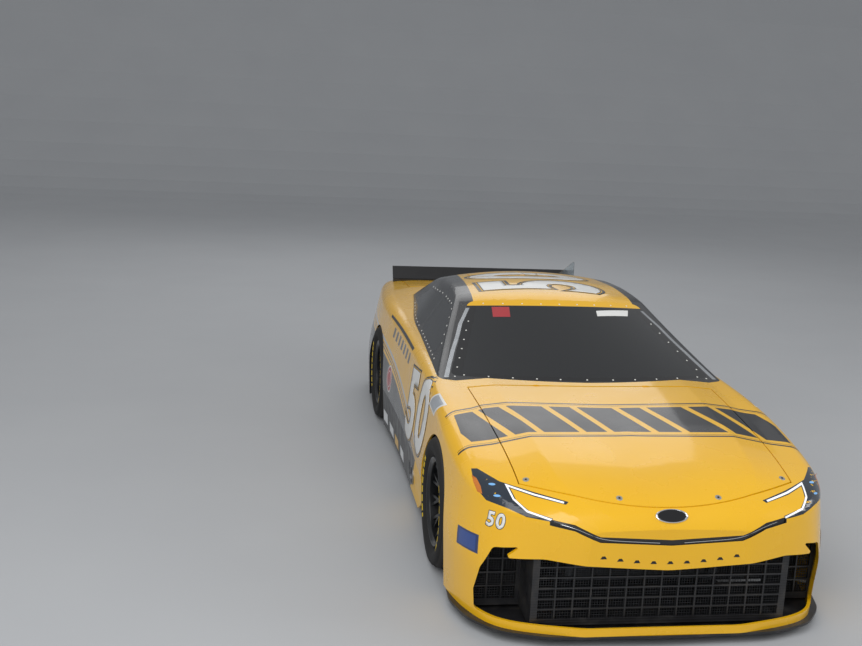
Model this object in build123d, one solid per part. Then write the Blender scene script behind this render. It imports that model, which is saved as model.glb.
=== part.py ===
"""Closed-wheel stock race car: composite body panels over a tube frame, in millimetres.

The car stands on its four tyres. +Z is up, the nose points to -Y and the car's left side is +X.
The origin is on the ground under the middle of the car. The outer skin is two forms: the lower
body, a loft of rounded sections along the car, and the canopy, which is the glass-and-roof form
set into it. Each panel is a piece of those skins, so neighbours always share one surface.
"""

import math
import os

from build123d import *

os.makedirs("parts", exist_ok=True)

# Overall sizes of the car
WHEELBASE = 2794.0
FRONT_AXLE_Y = -1426.0
REAR_AXLE_Y = FRONT_AXLE_Y + WHEELBASE
SKIRT_Z = 60.0                # bottom edge of the body sides above the ground
SKIN = 12.0                   # moulded body panel with its foam core
SEAM = 0.6                    # gap between two fixed panels
LID_GAP = 6.0                 # gap round a panel that opens
HINGE_GAP = 16.0              # gap at the hinged edge of the hood and the decklid
FIT = 0.3                     # gap between pieces that seat on each other

# Wheels and tyres
TYRE_R = 355.0
TYRE_WIDTH = 350.0
RIM_R = 228.6                 # bead seat of an 18 inch rim
RIM_WIDTH = 316.0
BEAD_GAP = 0.7                # between the tyre's bead and its seat on the rim
BEAD_ROUND = 4.0              # corner of the bead, wider than the round in the rim's corner
TRACK_HALF = 812.0            # from the car's middle to the middle of a tyre
ARCH_R = 415.0
ARCH_Z = 362.0
OPENING_Z = 302.0             # the body's wheel openings sit lower than the arches inside them
KINGPIN_X = 740.0
LINER_THICK = 6.0
LINER_GAP = 2.0               # between the arch and its liner
LINER_DEPTH = 45.0            # of the liner's inner wall behind the arch
LINER_WINDOW = (260.0, 560.0)  # half length and height of the suspension's window
ARCH_INNER_X = 560.0

# Sections of the lower body, from nose to tail. Half widths and heights of each section's corners:
# bottom edge, widest point of the side, shoulder, valley beside the hood, crease, and crown.
SECTION_COLUMNS = (
    "y", "bottom_w", "side_w", "side_z", "shoulder_w", "shoulder_z", "valley_w", "valley_z",
    "crease_w", "crease_z", "crown_z", "shoulder_r",
)
SECTIONS = (
    (-2450, 330, 350, 380, 335, 572, 280, 580, 180, 585, 588, 20),
    (-2432, 470, 492, 380, 470, 600, 390, 612, 250, 620, 624, 30),
    (-2395, 610, 632, 380, 602, 630, 480, 650, 330, 660, 664, 40),
    (-2320, 775, 797, 380, 752, 664, 600, 690, 430, 704, 706, 55),
    (-2200, 868, 890, 385, 847, 704, 690, 730, 495, 756, 746, 70),
    (-2000, 940, 960, 395, 914, 750, 735, 776, 530, 808, 790, 90),
    (-1750, 974, 992, 415, 938, 802, 752, 814, 548, 848, 828, 105),
    (-1426, 984, 999, 430, 945, 852, 765, 850, 562, 876, 862, 110),
    (-960, 955, 980, 430, 930, 887, 775, 884, 585, 901, 898, 110),
    (-600, 944, 970, 430, 920, 893, 780, 894, 605, 905, 915, 110),
    (0, 938, 962, 430, 915, 898, 780, 905, 610, 918, 932, 110),
    (700, 946, 972, 430, 920, 912, 780, 918, 620, 928, 942, 110),
    (REAR_AXLE_Y, 984, 999, 430, 935, 938, 760, 946, 610, 956, 966, 110),
    (REAR_AXLE_Y + 582, 972, 988, 430, 890, 914, 735, 934, 600, 944, 954, 115),
    (REAR_AXLE_Y + 912, 930, 945, 430, 850, 888, 715, 910, 590, 916, 924, 100),
    (REAR_AXLE_Y + 1032, 885, 900, 430, 812, 878, 690, 900, 570, 908, 914, 80),
    (REAR_AXLE_Y + 1072, 820, 835, 430, 760, 874, 640, 896, 530, 904, 910, 70),
)
SIDE_R = 900.0                # bulge of the body side
VALLEY_R = 150.0
CREASE_R = 80.0
CROWN_R = 2500.0
NARROW_W = 500.0              # sections narrower than this take the small nose radii

# Canopy: its middle profile, and how that changes away from the middle
CANOPY_FOOT_Z = 840.0
WINDSHIELD_BASE = (-957.0, 893.0)
HEADER = (-90.0, 1262.0)      # y and z where windshield and roof lines cross
ROOF_PEAK = (330.0, 1285.0)
ROOF_REAR = (930.0, 1254.0)
BACKLIGHT_SLOPE = 20.5
CANOPY_ROUNDS = (500.0, 2500.0, 1200.0)   # at header, peak and roof rear
CROWN_ACROSS_R = 3700.0       # the roof's curve from side to side
BASE_BOW = 1.75e-4            # backward sweep of the windshield's base, per mm squared of x
HEADER_BOW = 3.4e-4
BACKLIGHT_BOW = 1.6e-4
CANOPY_STATIONS = (-980.0, -490.0, 0.0, 490.0, 980.0)
# Sides of the canopy: y, half width at the low level, half width at the high level
CANOPY_SIDE_LEVELS = (840.0, 1340.0)
CANOPY_SIDES = ((-1250, 925, 560), (250, 868, 538), (700, 860, 533), (REAR_AXLE_Y + 882, 690, 392))
CANOPY_SIDE_R = (6000.0, 3500.0)
PILLAR_R = 70.0               # round where glass or roof meets the canopy side
FLANGE_DEPTH = 30.0           # how far the canopy reaches through the lower body's opening

# Seams between panels
NOSE_FRONT_Y = -2449.0         # the form's tip is trimmed flat here
NOSE_SEAM_Y = -2010.0
DOOR_FRONT_Y = -800.0
DOOR_REAR_Y = 395.0
SKIRT_TOP_Z = 330.0
SKIRT_CUT = ((-1060, 0), (-637, 0), (-1060, 206))      # lower corner behind the front wheel
TAIL_SEAM_Y = REAR_AXLE_Y + 962
TAIL_SIDE_Y = REAR_AXLE_Y + 752
TAIL_SIDE_Z = 640.0
HOOD_FRONT_Y = -2372.0
HOOD_REAR_Y = -1010.0
HOOD_FRONT_W = 690.0
HOOD_REAR_W = 730.0
HOOD_BOW = 185.0
COWL_HALF_W = 770.0
DECK_FRONT_Y = REAR_AXLE_Y + 432
DECK_HALF_W = 690.0
DECK_BOW = 2.0

# Hinges of the hood and the decklid: the pin lies below the middle of the hinge gap
HINGE_DEPTH = 10.0
HINGE_PIN_R = 4.0
HINGE_EYE_R = 7.0
HINGE_EYE_LONG = 12.0
HINGE_LID_WEB = 45.0
HINGE_FIXED_WEB = 28.0
HINGE_NOTCH = 6.0             # how far each edge is cut back beside a hinge
PIN_PLAY = 0.3
HINGE_X = 330.0

# Glass, and the openings it fills
GLASS = 5.0
WINDOW_R = 45.0
WINDSHIELD_LOW = (-930.0, 800.0, 1.9e-4)     # y in the middle, half width, bow
WINDSHIELD_TOP = (-150.0, 570.0, 3.4e-4)
BACKLIGHT_LOW = (1660.0, 590.0, -4.6e-4)
BACKLIGHT_TOP = (1000.0, 535.0, -1.6e-4)
DOOR_WINDOW = ((-570, 925), (345, 934), (332, 1150), (10, 1150))
REAR_SIDE_WINDOW = ((385, 935), (1190, 962), (860, 1115), (372, 1150))
SIDE_WINDOW_X = 540.0         # side openings are cut from here outwards

# Roof flaps, hinged at their front edge in pockets of the roof skin
FLAP_X = (50.0, 430.0)
FLAP_Y = (560.0, 790.0)
FLAP_GAP = 5.0
FLAP_FRONT_GAP = 8.0
FLAP_THICK = 4.5
FLAP_POCKET = 9.5
FLAP_PIN_R = 1.5
FLAP_PIN_DEPTH = 2.4
FLAP_PIN_OUT = 11.0
FLAP_PIN_IN = 8.0

# Spoiler and roof fin
SPOILER_Y = TAIL_SEAM_Y - 32
SPOILER_HALF_W = 765.0
SPOILER_HIGH = 100.0
SPOILER_LEAN = 32.0
SPOILER_THICK = 6.0
SPOILER_FOOT = 40.0           # how far the blade is drawn down before it is cut to the deck
SPOILER_FLANGE = 28.0         # foot along the deck ahead of the blade
SPOILER_BRACES = (-420.0, -140.0, 140.0, 420.0)
BRACE_HIGH = 60.0
FIN_X = 470.0
FIN_THICK = 4.0
FIN_OUTLINE = ((1150, 1080), (1788, 910), (1788, 985), (1710, 1062), (1195, 1279), (1163, 1279))
FIN_RADII = (0, 0, 30, 60, 12, 12)

# Front openings, splitter, diffuser and floor
# Left half of the nose's opening, from the lip's middle out round the corner duct to the sill
NOSE_OPENING = ((165, 402), (420, 420), (600, 438), (772, 418), (706, 484), (822, 456), (868, 330), (884, 200),
                (876, 100))
NOSE_OPENING_RADII = (300, 400, 200, 8, 6, 30, 100, 60, 20)
LIP_Z = 392.0
GROOVE = ((0, 530), (350, 549), (470, 600), (580, 618))     # middle line of the groove over the lip
GROOVE_HALF_Z = 13.0
GROOVE_DEPTH = 5.0
GRILLE_Y = -2366.0
GRILLE_HALF_W = 640.0
GRILLE_LOW_Z = 82.0
GRILLE_TOP_Z = 462.0
DUCT_SCREEN_Y = -2130.0
DUCT_TOP_Z = 500.0
GRILLE_THICK = 12.0
GRILLE_GRID = (14, 6)         # columns and rows of holes
DUCT_GRID = (3, 5)
DUCT_SCREEN_X = 910.0
SCREEN_RIM = 34.0
SCREEN_RIB = 8.0
DUCT_WALL = 6.0
SPLITTER_FRONT_Y = -2458.0
SPLITTER_REAR_Y = -1872.0
SPLITTER_THICK = 13.0
SPLITTER_HALF = ((958, SPLITTER_REAR_Y), (966, -2010), (915, -2200), (790, -2360), (560, -2440),
                 (0, SPLITTER_FRONT_Y))
SPLITTER_RADII = (0, 250, 250, 250, 400, 3000)
FLOOR_Z = 62.0
FLOOR_THICK = 8.0
FLOOR_FRONT_Y = -1985.0
FLOOR_HALF_W = (500.0, 930.0, 850.0)        # beside the wheels, under the cabin, at the tail
FLOOR_CLEAR = 12.0            # between the floor and the wheel openings
DIFFUSER = (REAR_AXLE_Y + 637, REAR_AXLE_Y + 1086, 620.0, 205.0)    # front y, rear y, half width, rear height
EXHAUST = (-526.0, 185.0)     # y and z of the outlet
EXHAUST_R = 58.0
EXHAUST_BORE_R = 50.0
EXHAUST_END_X = 960.0
EXHAUST_START_X = 790.0
VENT_BEHIND = (120.0, 165.0)  # two upright vents behind each outlet
VENT_WIDE = 18.0
VENT_Z = (130.0, 225.0)
FILLER = (REAR_AXLE_Y + 482, 760.0)
FILLER_R = 62.0
FILLER_BORE_R = 50.0
FILLER_END_X = 958.0
FILLER_START_X = 890.0
FILLER_BOTTOM = 6.0

# Tube frame and cage
TUBE_R = 22.0
HALO_R = 21.0                 # side tubes of the cage, over the roof and down to the floor
BRACE_R = 19.0                # bars between the main tubes
BUMPER_R = 25.0               # cross tubes behind the nose and the tail
BEND_R = 80.0                 # middle line of a tube's bend
LOW_RAIL = (380.0, 170.0)     # x and z of the lower rails at the front
REAR_LOW_RAIL_X = 330.0
HIGH_RAIL = (400.0, 600.0)
PICKUP_Y = 180.0              # wishbone pick-ups ahead of and behind the axle
FIREWALL_Y = -820.0
BULKHEAD_Y = 900.0
TUB_HALF_W = 720.0
TUB_WALL = 5.0
TUB_SIDE_Z = 200.0
FIREWALL_TOP_Z = 850.0
BULKHEAD_TOP_Z = 700.0
TUNNEL = (130.0, 300.0)       # half width and height
HOOP_Y = 250.0
HOOP_TOP_Z = 1185.0
HEADER_BAR = (-60.0, 1150.0)  # y and z of the bar over the windshield
DASH_BAR = (-520.0, 850.0)
DOOR_BAR_X = 800.0
DOOR_BAR_Z = (280.0, 450.0, 620.0)
DRIVER_X = 370.0

# Wheel ends
LOW_JOINT_Z = 206.0
HIGH_JOINT_Z = 504.0
JOINT_PIN_R = 10.0
ARM_R = 12.0
BUSH_R = 16.0
HUB_SHAFT_R = 28.0
HUB_R = 60.0
DISC_R = 188.0
DISC_THICK = 36.0
DISC_X = -18.0                # middle of the disc, from the tyre's middle
RACK_AHEAD = 120.0
RACK_Z = 300.0
RACK_R = 11.0
SLIDE_PLAY = 0.5
SPOKES = 10

# Steering column: middle of the steering wheel, and its slope
STEERING_WHEEL = (-400.0, 720.0)
STEERING_WHEEL_R = 170.0
COLUMN_SLOPE = 20.0

# Reach of cutting blocks: past the body sides, past both ends, and past everything
SIDE_REACH = 1100.0
END_REACH = 2600.0
BIG = 6000.0


def round_corner(before, at, after, radius):
    """Start, middle and end of the arc that rounds one corner of a flat outline."""
    ux, uy = before[0] - at[0], before[1] - at[1]
    vx, vy = after[0] - at[0], after[1] - at[1]
    lu, lv = math.hypot(ux, uy), math.hypot(vx, vy)
    ux, uy, vx, vy = ux / lu, uy / lu, vx / lv, vy / lv
    half_angle = math.acos(max(-1.0, min(1.0, ux * vx + uy * vy))) / 2
    radius = min(radius, 0.48 * min(lu, lv) * math.tan(half_angle))
    run = radius / math.tan(half_angle)
    bx, by = ux + vx, uy + vy
    lb = math.hypot(bx, by)
    reach = radius / math.sin(half_angle) - radius
    middle = (at[0] + bx / lb * reach, at[1] + by / lb * reach)
    return (at[0] + ux * run, at[1] + uy * run), middle, (at[0] + vx * run, at[1] + vy * run)


def outline(plane, points, radii):
    """Closed wire of lines and arcs through flat points on a plane. A radius of 0 is a sharp corner."""
    count = len(points)
    arcs = []
    for i, at in enumerate(points):
        if radii[i] > 0:
            arcs.append(round_corner(points[i - 1], at, points[(i + 1) % count], radii[i]))
        else:
            arcs.append((at, None, at))

    def place(point):
        return plane.from_local_coords(Vector(point[0], point[1], 0))

    edges = []
    for i, (start, middle, end) in enumerate(arcs):
        if middle is not None:
            edges.append(ThreePointArc(place(start), place(middle), place(end)))
        edges.append(Line(place(end), place(arcs[(i + 1) % count][0])))
    return Wire(edges)


def inset(points, depths):
    """A closed anticlockwise outline with each edge moved inwards by its own depth."""
    count = len(points)
    lines = []
    for i, (ax, ay) in enumerate(points):
        bx, by = points[(i + 1) % count]
        length = math.hypot(bx - ax, by - ay)
        dx, dy = (bx - ax) / length, (by - ay) / length
        lines.append((ax - dy * depths[i], ay + dx * depths[i], dx, dy))
    moved = []
    for i, (bx, by, bdx, bdy) in enumerate(lines):
        ax, ay, adx, ady = lines[i - 1]
        cross = adx * bdy - ady * bdx
        share = ((bx - ax) * bdy - (by - ay) * bdx) / cross
        moved.append((ax + adx * share, ay + ady * share))
    return moved


def mirrored(half):
    """Half an outline, from bottom to crown, followed by its mirror image."""
    return half + [(-x, y) for x, y in reversed(half[:-1])]


def box(x0, x1, y0, y1, z0, z1):
    """Block between two corners."""
    return Pos((x0 + x1) / 2, (y0 + y1) / 2, (z0 + z1) / 2) * Box(x1 - x0, y1 - y0, z1 - z0)


def plan_prism(points, radii, z0, z1):
    """Outline in plan, between two heights."""
    return extrude(Face(outline(Plane.XY.offset(z0), points, radii)), amount=z1 - z0, dir=(0, 0, 1))


def side_plane(x):
    """Plane across the car at x, with y to its right and z up."""
    return Plane(origin=(x, 0, 0), x_dir=(0, 1, 0), z_dir=(1, 0, 0))


def front_plane(y):
    """Plane along x and z at y."""
    return Plane(origin=(0, y, 0), x_dir=(1, 0, 0), z_dir=(0, -1, 0))


def bar(start, end, radius):
    """Round bar between two points."""
    a, b = Vector(*start), Vector(*end)
    return Solid.make_cylinder(radius, (b - a).length, Plane(origin=a, z_dir=b - a))


def cylinder_x(y, z, radius, x0, x1):
    """Cylinder along x."""
    return Solid.make_cylinder(radius, x1 - x0, Plane(origin=(x0, y, z), z_dir=(1, 0, 0)))


def fuse(pieces):
    """One shape from many."""
    return pieces[0].fuse(*pieces[1:]) if len(pieces) > 1 else pieces[0]


def mirror_x(shape):
    """The same piece on the other side of the car."""
    return mirror(shape, about=Plane.YZ)


def lower_body(depth):
    """The lower body's outer form, or the same form a depth inside it with an open bottom."""
    wires = []
    for row in SECTIONS:
        s = dict(zip(SECTION_COLUMNS, row))
        half = [
            (s["bottom_w"], SKIRT_Z),
            (s["side_w"], s["side_z"]),
            (s["shoulder_w"], s["shoulder_z"]),
            (s["valley_w"], s["valley_z"]),
            (s["crease_w"], s["crease_z"]),
            (0, s["crown_z"]),
        ]
        small = 0.5 if s["shoulder_w"] < NARROW_W else 1.0
        radii = [0, SIDE_R * small, s["shoulder_r"], VALLEY_R, CREASE_R]
        points = mirrored(half)
        radii = radii + [CROWN_R * small] + radii[::-1]
        y = s["y"]
        if depth:
            points = inset(points, [depth] * (len(points) - 1) + [-100.0])
            y += depth if y < 0 else -depth
        wires.append(outline(front_plane(y), points, radii))
    return Solid.make_loft(wires, False)


def canopy_profile(x, depth):
    """Side outline of the canopy at one distance from the middle, moved in by a depth."""
    drop = x * x / (2 * CROWN_ACROSS_R)
    base = (WINDSHIELD_BASE[0] + BASE_BOW * x * x, WINDSHIELD_BASE[1])
    header = (HEADER[0] + HEADER_BOW * x * x, HEADER[1] - drop)
    peak = (ROOF_PEAK[0], ROOF_PEAK[1] - drop)
    rear = (ROOF_REAR[0] - BACKLIGHT_BOW * x * x, ROOF_REAR[1] - drop)
    front_foot = base[0] - (base[1] - CANOPY_FOOT_Z) * (header[0] - base[0]) / (header[1] - base[1])
    rear_foot = rear[0] + (rear[1] - CANOPY_FOOT_Z) / math.tan(math.radians(BACKLIGHT_SLOPE))
    points = [(front_foot, CANOPY_FOOT_Z), (rear_foot, CANOPY_FOOT_Z), rear, peak, header]
    return inset(points, [-max(depth, 0.0) * 2, depth, depth, depth, depth])


def canopy_sides(depth):
    """Leaning side walls of the canopy, as a tapering block."""
    wires = []
    for level, z in enumerate(CANOPY_SIDE_LEVELS):
        half = [(row[1 + level] - depth * 1.18, row[0]) for row in CANOPY_SIDES]
        points = half + [(-x, y) for x, y in reversed(half)]
        radii = [0, *CANOPY_SIDE_R, 0]
        wires.append(outline(Plane.XY.offset(z), points, radii + radii[::-1]))
    return Solid.make_loft(wires, True)


def crease_edges(solid, low_z, least_x):
    """Sharp edges of a solid above a height and away from its middle."""
    found = []
    for edge in solid.edges():
        middle = edge @ 0.5
        if middle.Z < low_z or abs(middle.X) < least_x:
            continue
        normals = [f.normal_at(middle) for f in solid.faces() if f.distance_to(middle) < 0.01]
        if len(normals) == 2 and normals[0].get_angle(normals[1]) > 15:
            found.append(edge)
    return found


def canopy(depth):
    """The canopy's form at a depth inside its outer skin, with rounded pillars."""
    radii = (0, 0, CANOPY_ROUNDS[2], CANOPY_ROUNDS[1], CANOPY_ROUNDS[0])
    wires = [outline(side_plane(x), canopy_profile(x, depth), radii) for x in CANOPY_STATIONS]
    form = Solid.make_loft(wires, False) & canopy_sides(depth)
    form = form.solids()[0]
    return form.fillet(PILLAR_R - max(depth, 0), crease_edges(form, CANOPY_FOOT_Z + 15, 250))


def height_on(form, x, y):
    """Height of a form's top above one point of the plan."""
    inside = Edge.make_line((x, y, 0), (x, y, BIG)) & form
    return max(vertex.Z for vertex in inside.vertices())


def write(name, *shapes):
    """Write one node with its solids."""
    solids = [solid for shape in shapes for solid in shape.solids()]
    export_step(solids[0] if len(solids) == 1 else Compound(children=solids), f"parts/{name}.step")


def arch_prism(axle_y, middle_z, grow, x0, x1):
    """Wheel arch about a middle height, grown outwards, between two distances from the car's middle."""
    plane = side_plane(x0)
    r = ARCH_R + grow

    def at(y, z):
        return plane.from_local_coords(Vector(y, z, 0))

    wire = Wire([
        Line(at(axle_y - r, 0), at(axle_y - r, middle_z)),
        ThreePointArc(at(axle_y - r, middle_z), at(axle_y, middle_z + r), at(axle_y + r, middle_z)),
        Line(at(axle_y + r, middle_z), at(axle_y + r, 0)),
        Line(at(axle_y + r, 0), at(axle_y - r, 0)),
    ])
    return extrude(Face(wire), amount=x1 - x0, dir=(1, 0, 0))


def side_prism(points, radii, x0, x1):
    """Outline in y and z between two distances from the middle."""
    return extrude(Face(outline(side_plane(x0), points, radii)), amount=x1 - x0, dir=(1, 0, 0))


def front_prism(points, radii, y0, y1):
    """Outline in x and z between two places along the car."""
    return extrude(Face(outline(front_plane(y0), points, radii)), amount=y1 - y0, dir=(0, 1, 0))


def lid_prism(front_y, rear_y, front_w, rear_w, bow, grow_front, grow_rear, grow_side):
    """Plan of a lid: straight rear edge, front edge bowed forwards, straight sides."""
    fy, ry = front_y - grow_front, rear_y + grow_rear
    fw, rw = front_w + grow_side, rear_w + grow_side
    edges = [
        Line((fw, fy + bow), (rw, ry)),
        Line((rw, ry), (-rw, ry)),
        Line((-rw, ry), (-fw, fy + bow)),
        ThreePointArc((-fw, fy + bow), (0, fy), (fw, fy + bow)),
    ]
    return extrude(Face(Wire(edges)), amount=BIG, dir=(0, 0, 1))


def glass_prism(low, top, grow):
    """Plan of the windshield or the backlight, both edges bowed, corners rounded."""
    outward = 1 if low[0] > top[0] else -1
    ends = []
    for (y, half_w, bow), away in ((low, outward), (top, -outward)):
        w = half_w + grow
        middle = y + grow * away
        ends.append(((-w, middle + bow * w * w), (0, middle), (w, middle + bow * w * w)))
    (low_a, low_m, low_b), (top_a, top_m, top_b) = ends
    face = Face(Wire([
        ThreePointArc(low_a, low_m, low_b),
        Line(low_b, top_b),
        ThreePointArc(top_b, top_m, top_a),
        Line(top_a, low_a),
    ]))
    return extrude(face.fillet_2d(WINDOW_R, face.vertices()), amount=BIG, dir=(0, 0, 1))


def side_window_prism(points, grow, x0, x1):
    """Outline of a side window between two distances from the middle."""
    return side_prism(inset(points, [-grow] * len(points)), [WINDOW_R] * len(points), x0, x1)


def hinge(x, y, z, lid_side):
    """Lid eye, fixed eyes with their pin, and the notch that both edges get, for one hinge."""
    eye = HINGE_EYE_LONG / 2
    far = y + lid_side * HINGE_LID_WEB
    low, high = z - HINGE_EYE_R, z + 1
    lid_part = cylinder_x(y, z, HINGE_EYE_R, x - eye, x + eye).fuse(
        box(x - eye, x + eye, min(y, far), max(y, far), low, high))
    lid_part = lid_part - cylinder_x(y, z, HINGE_PIN_R + PIN_PLAY, x - BIG, x + BIG)
    back = y - lid_side * HINGE_FIXED_WEB
    fixed = [cylinder_x(y, z, HINGE_PIN_R, x - eye - 7, x + eye + 7)]
    for x0 in (x - eye - 7, x + eye + 1):
        fixed.append(cylinder_x(y, z, HINGE_EYE_R, x0, x0 + 6))
        fixed.append(box(x0, x0 + 6, min(y, back), max(y, back), low, high))
    reach = HINGE_GAP / 2 + HINGE_NOTCH
    notch = box(x - eye - 12, x + eye + 12, y - reach, y + reach, z - HINGE_EYE_R, BIG)
    return lid_part, fuse(fixed), notch


lower_out = lower_body(0)
lower_in = lower_body(SKIN)
lower_fit = lower_body(SKIN + FIT)
lower_seat = lower_body(-FIT)
lower_skin = lower_out - lower_in
canopy_out = canopy(0)
canopy_in = canopy(SKIN)
half_seam = SEAM / 2

# Hinges of the two lids
hood_hinge_z = height_on(lower_out, 0, HOOD_REAR_Y) - HINGE_DEPTH
deck_hinge_z = height_on(lower_out, 0, DECK_FRONT_Y) - HINGE_DEPTH
hood_hinges = [hinge(x, HOOD_REAR_Y, hood_hinge_z, -1) for x in (-HINGE_X, HINGE_X)]
deck_hinges = [hinge(x, DECK_FRONT_Y, deck_hinge_z, 1) for x in (-HINGE_X, HINGE_X)]
notches = fuse([h[2] for h in hood_hinges + deck_hinges])

# What opens the lower skin: canopy, arches, and the two lids with their gaps
hood_plan = (HOOD_FRONT_Y, HOOD_REAR_Y - HINGE_GAP / 2, HOOD_FRONT_W, HOOD_REAR_W, HOOD_BOW)
deck_plan = (DECK_FRONT_Y + HINGE_GAP / 2, TAIL_SEAM_Y - LID_GAP, DECK_HALF_W, DECK_HALF_W, DECK_BOW)
arches = [
    arch_prism(axle_y, OPENING_Z, 0, x0, x1)
    for axle_y in (FRONT_AXLE_Y, REAR_AXLE_Y)
    for x0, x1 in ((ARCH_INNER_X, SIDE_REACH), (-SIDE_REACH, -ARCH_INNER_X))
]
fixed_skin = (
    lower_skin
    - canopy(-SEAM)
    - lid_prism(*hood_plan, LID_GAP, HINGE_GAP, LID_GAP)
    - lid_prism(*deck_plan, HINGE_GAP, LID_GAP, LID_GAP)
    - fuse(arches)
    - notches
)

# Hood and decklid
hood = (lower_skin & lid_prism(*hood_plan, 0, 0, 0)) - notches
write("hood", fuse([hood] + [h[0] for h in hood_hinges]))
decklid = (lower_skin & lid_prism(*deck_plan, 0, 0, 0)) - notches
write("decklid", fuse([decklid] + [h[0] for h in deck_hinges]))

# Nose, with its middle opening and corner ducts
nose = fixed_skin & box(-SIDE_REACH, SIDE_REACH, NOSE_FRONT_Y, NOSE_SEAM_Y - half_seam, SKIRT_Z, BIG)
opening_points = [(0, LIP_Z), *NOSE_OPENING, *[(-x, z) for x, z in reversed(NOSE_OPENING)]]
opening_radii = [500, *NOSE_OPENING_RADII, *reversed(NOSE_OPENING_RADII)]
nose = nose - front_prism(opening_points, opening_radii, -END_REACH, -2060)
groove_top = [(x, z + GROOVE_HALF_Z) for x, z in GROOVE]
groove_low = [(x, z - GROOVE_HALF_Z) for x, z in GROOVE]
groove_points = groove_low + groove_top[:0:-1]
groove_points += [(-x, z) for x, z in groove_top + groove_low[:0:-1]]
groove = front_prism(groove_points, [0] * len(groove_points), -END_REACH, -2250)
write("nose", nose - (groove - lower_body(GROOVE_DEPTH)))

# Grille and duct screens in one insert: plates with holes, walls between them, cut to the nose's inside
def screen(x0, x1, z0, z1, y, columns, rows):
    """Plate across the car with a grid of holes."""
    plate = box(x0, x1, y, y + GRILLE_THICK, z0, z1)
    wide = (x1 - x0 - 2 * SCREEN_RIM + SCREEN_RIB) / columns
    high = (z1 - z0 - 2 * SCREEN_RIM + SCREEN_RIB) / rows
    holes = []
    for i in range(columns):
        for j in range(rows):
            left, low = x0 + SCREEN_RIM + i * wide, z0 + SCREEN_RIM + j * high
            holes.append(box(left, left + wide - SCREEN_RIB, y - 1, y + GRILLE_THICK + 1,
                             low, low + high - SCREEN_RIB))
    return plate - holes


insert = [screen(-GRILLE_HALF_W, GRILLE_HALF_W, GRILLE_LOW_Z, GRILLE_TOP_Z, GRILLE_Y, *GRILLE_GRID)]
for side in (-1, 1):
    insert.append(box(*sorted((side * GRILLE_HALF_W, side * (GRILLE_HALF_W - GRILLE_THICK))), GRILLE_Y,
                      DUCT_SCREEN_Y + GRILLE_THICK, GRILLE_LOW_Z, DUCT_TOP_Z))
    insert.append(box(*sorted((side * GRILLE_HALF_W, side * SIDE_REACH)), GRILLE_Y,
                      DUCT_SCREEN_Y + GRILLE_THICK, DUCT_TOP_Z - DUCT_WALL, DUCT_TOP_Z))
duct_screen = screen(GRILLE_HALF_W - GRILLE_THICK, DUCT_SCREEN_X, GRILLE_LOW_Z, DUCT_TOP_Z, DUCT_SCREEN_Y, *DUCT_GRID)
write("lower_grille", fuse([*insert, duct_screen, mirror_x(duct_screen)]) & lower_fit)

# Splitter under the nose
splitter_z = SKIRT_Z - FIT - SPLITTER_THICK
write("front_splitter", plan_prism(
    mirrored(list(SPLITTER_HALF)), [*SPLITTER_RADII, *SPLITTER_RADII[-2::-1]],
    splitter_z, splitter_z + SPLITTER_THICK))

# Sides: fenders, cowl between them, doors, quarter panels, skirts and tail
cowl_front_y = HOOD_REAR_Y + HINGE_GAP / 2
cowl = fixed_skin & box(-COWL_HALF_W + half_seam, COWL_HALF_W - half_seam, cowl_front_y, 0, 0, BIG)
write("cowl", fuse([cowl] + [h[1] for h in hood_hinges]))
cowl_hole = box(0, COWL_HALF_W + half_seam, cowl_front_y, 0, 0, BIG)
skirt_hole = box(0, SIDE_REACH, FRONT_AXLE_Y, REAR_AXLE_Y, 0, SKIRT_TOP_Z + half_seam)
side_skin = fixed_skin & box(half_seam, SIDE_REACH, -END_REACH, END_REACH, 0, BIG)

fender = side_skin & box(0, SIDE_REACH, NOSE_SEAM_Y + half_seam, DOOR_FRONT_Y - half_seam, 0, BIG)
fender = fender - cowl_hole - skirt_hole
write("fender_left", fender)
write("fender_right", mirror_x(fender))

door = side_skin & box(0, SIDE_REACH, DOOR_FRONT_Y + half_seam, DOOR_REAR_Y - half_seam, 0, BIG)
door = door - cowl_hole - skirt_hole
write("door_left", door)
write("door_right", mirror_x(door))

quarter = side_skin & box(0, SIDE_REACH, DOOR_REAR_Y + half_seam, TAIL_SEAM_Y - half_seam, 0, BIG)
quarter = quarter - skirt_hole - box(0, SIDE_REACH, TAIL_SIDE_Y - half_seam, BIG, 0, TAIL_SIDE_Z + half_seam)
quarter = quarter.fuse(deck_hinges[1][1])
filler_y, filler_z = FILLER
filler_hole = cylinder_x(filler_y, filler_z, FILLER_R + FIT, EXHAUST_START_X, SIDE_REACH)
write("quarter_left", quarter - filler_hole)
write("quarter_right", mirror_x(quarter))
filler = cylinder_x(filler_y, filler_z, FILLER_R, FILLER_START_X, FILLER_END_X)
write("fuel_filler", filler - cylinder_x(filler_y, filler_z, FILLER_BORE_R, FILLER_START_X + FILLER_BOTTOM, SIDE_REACH))

exhaust_y, exhaust_z = EXHAUST
skirt = side_skin & box(0, SIDE_REACH, FRONT_AXLE_Y, REAR_AXLE_Y, 0, SKIRT_TOP_Z - half_seam)
skirt = skirt - cylinder_x(exhaust_y, exhaust_z, EXHAUST_R + FIT, EXHAUST_START_X, SIDE_REACH)
skirt = skirt - side_prism(SKIRT_CUT, (0, 0, 0), ARCH_INNER_X, SIDE_REACH)
for behind in VENT_BEHIND:
    vent_y = exhaust_y + behind
    skirt = skirt - box(EXHAUST_START_X, SIDE_REACH, vent_y, vent_y + VENT_WIDE, *VENT_Z)
write("side_skirts", skirt, mirror_x(skirt))
outlet = cylinder_x(exhaust_y, exhaust_z, EXHAUST_R, EXHAUST_START_X, EXHAUST_END_X)
outlet = outlet - cylinder_x(exhaust_y, exhaust_z, EXHAUST_BORE_R, ARCH_INNER_X, SIDE_REACH)
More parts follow.
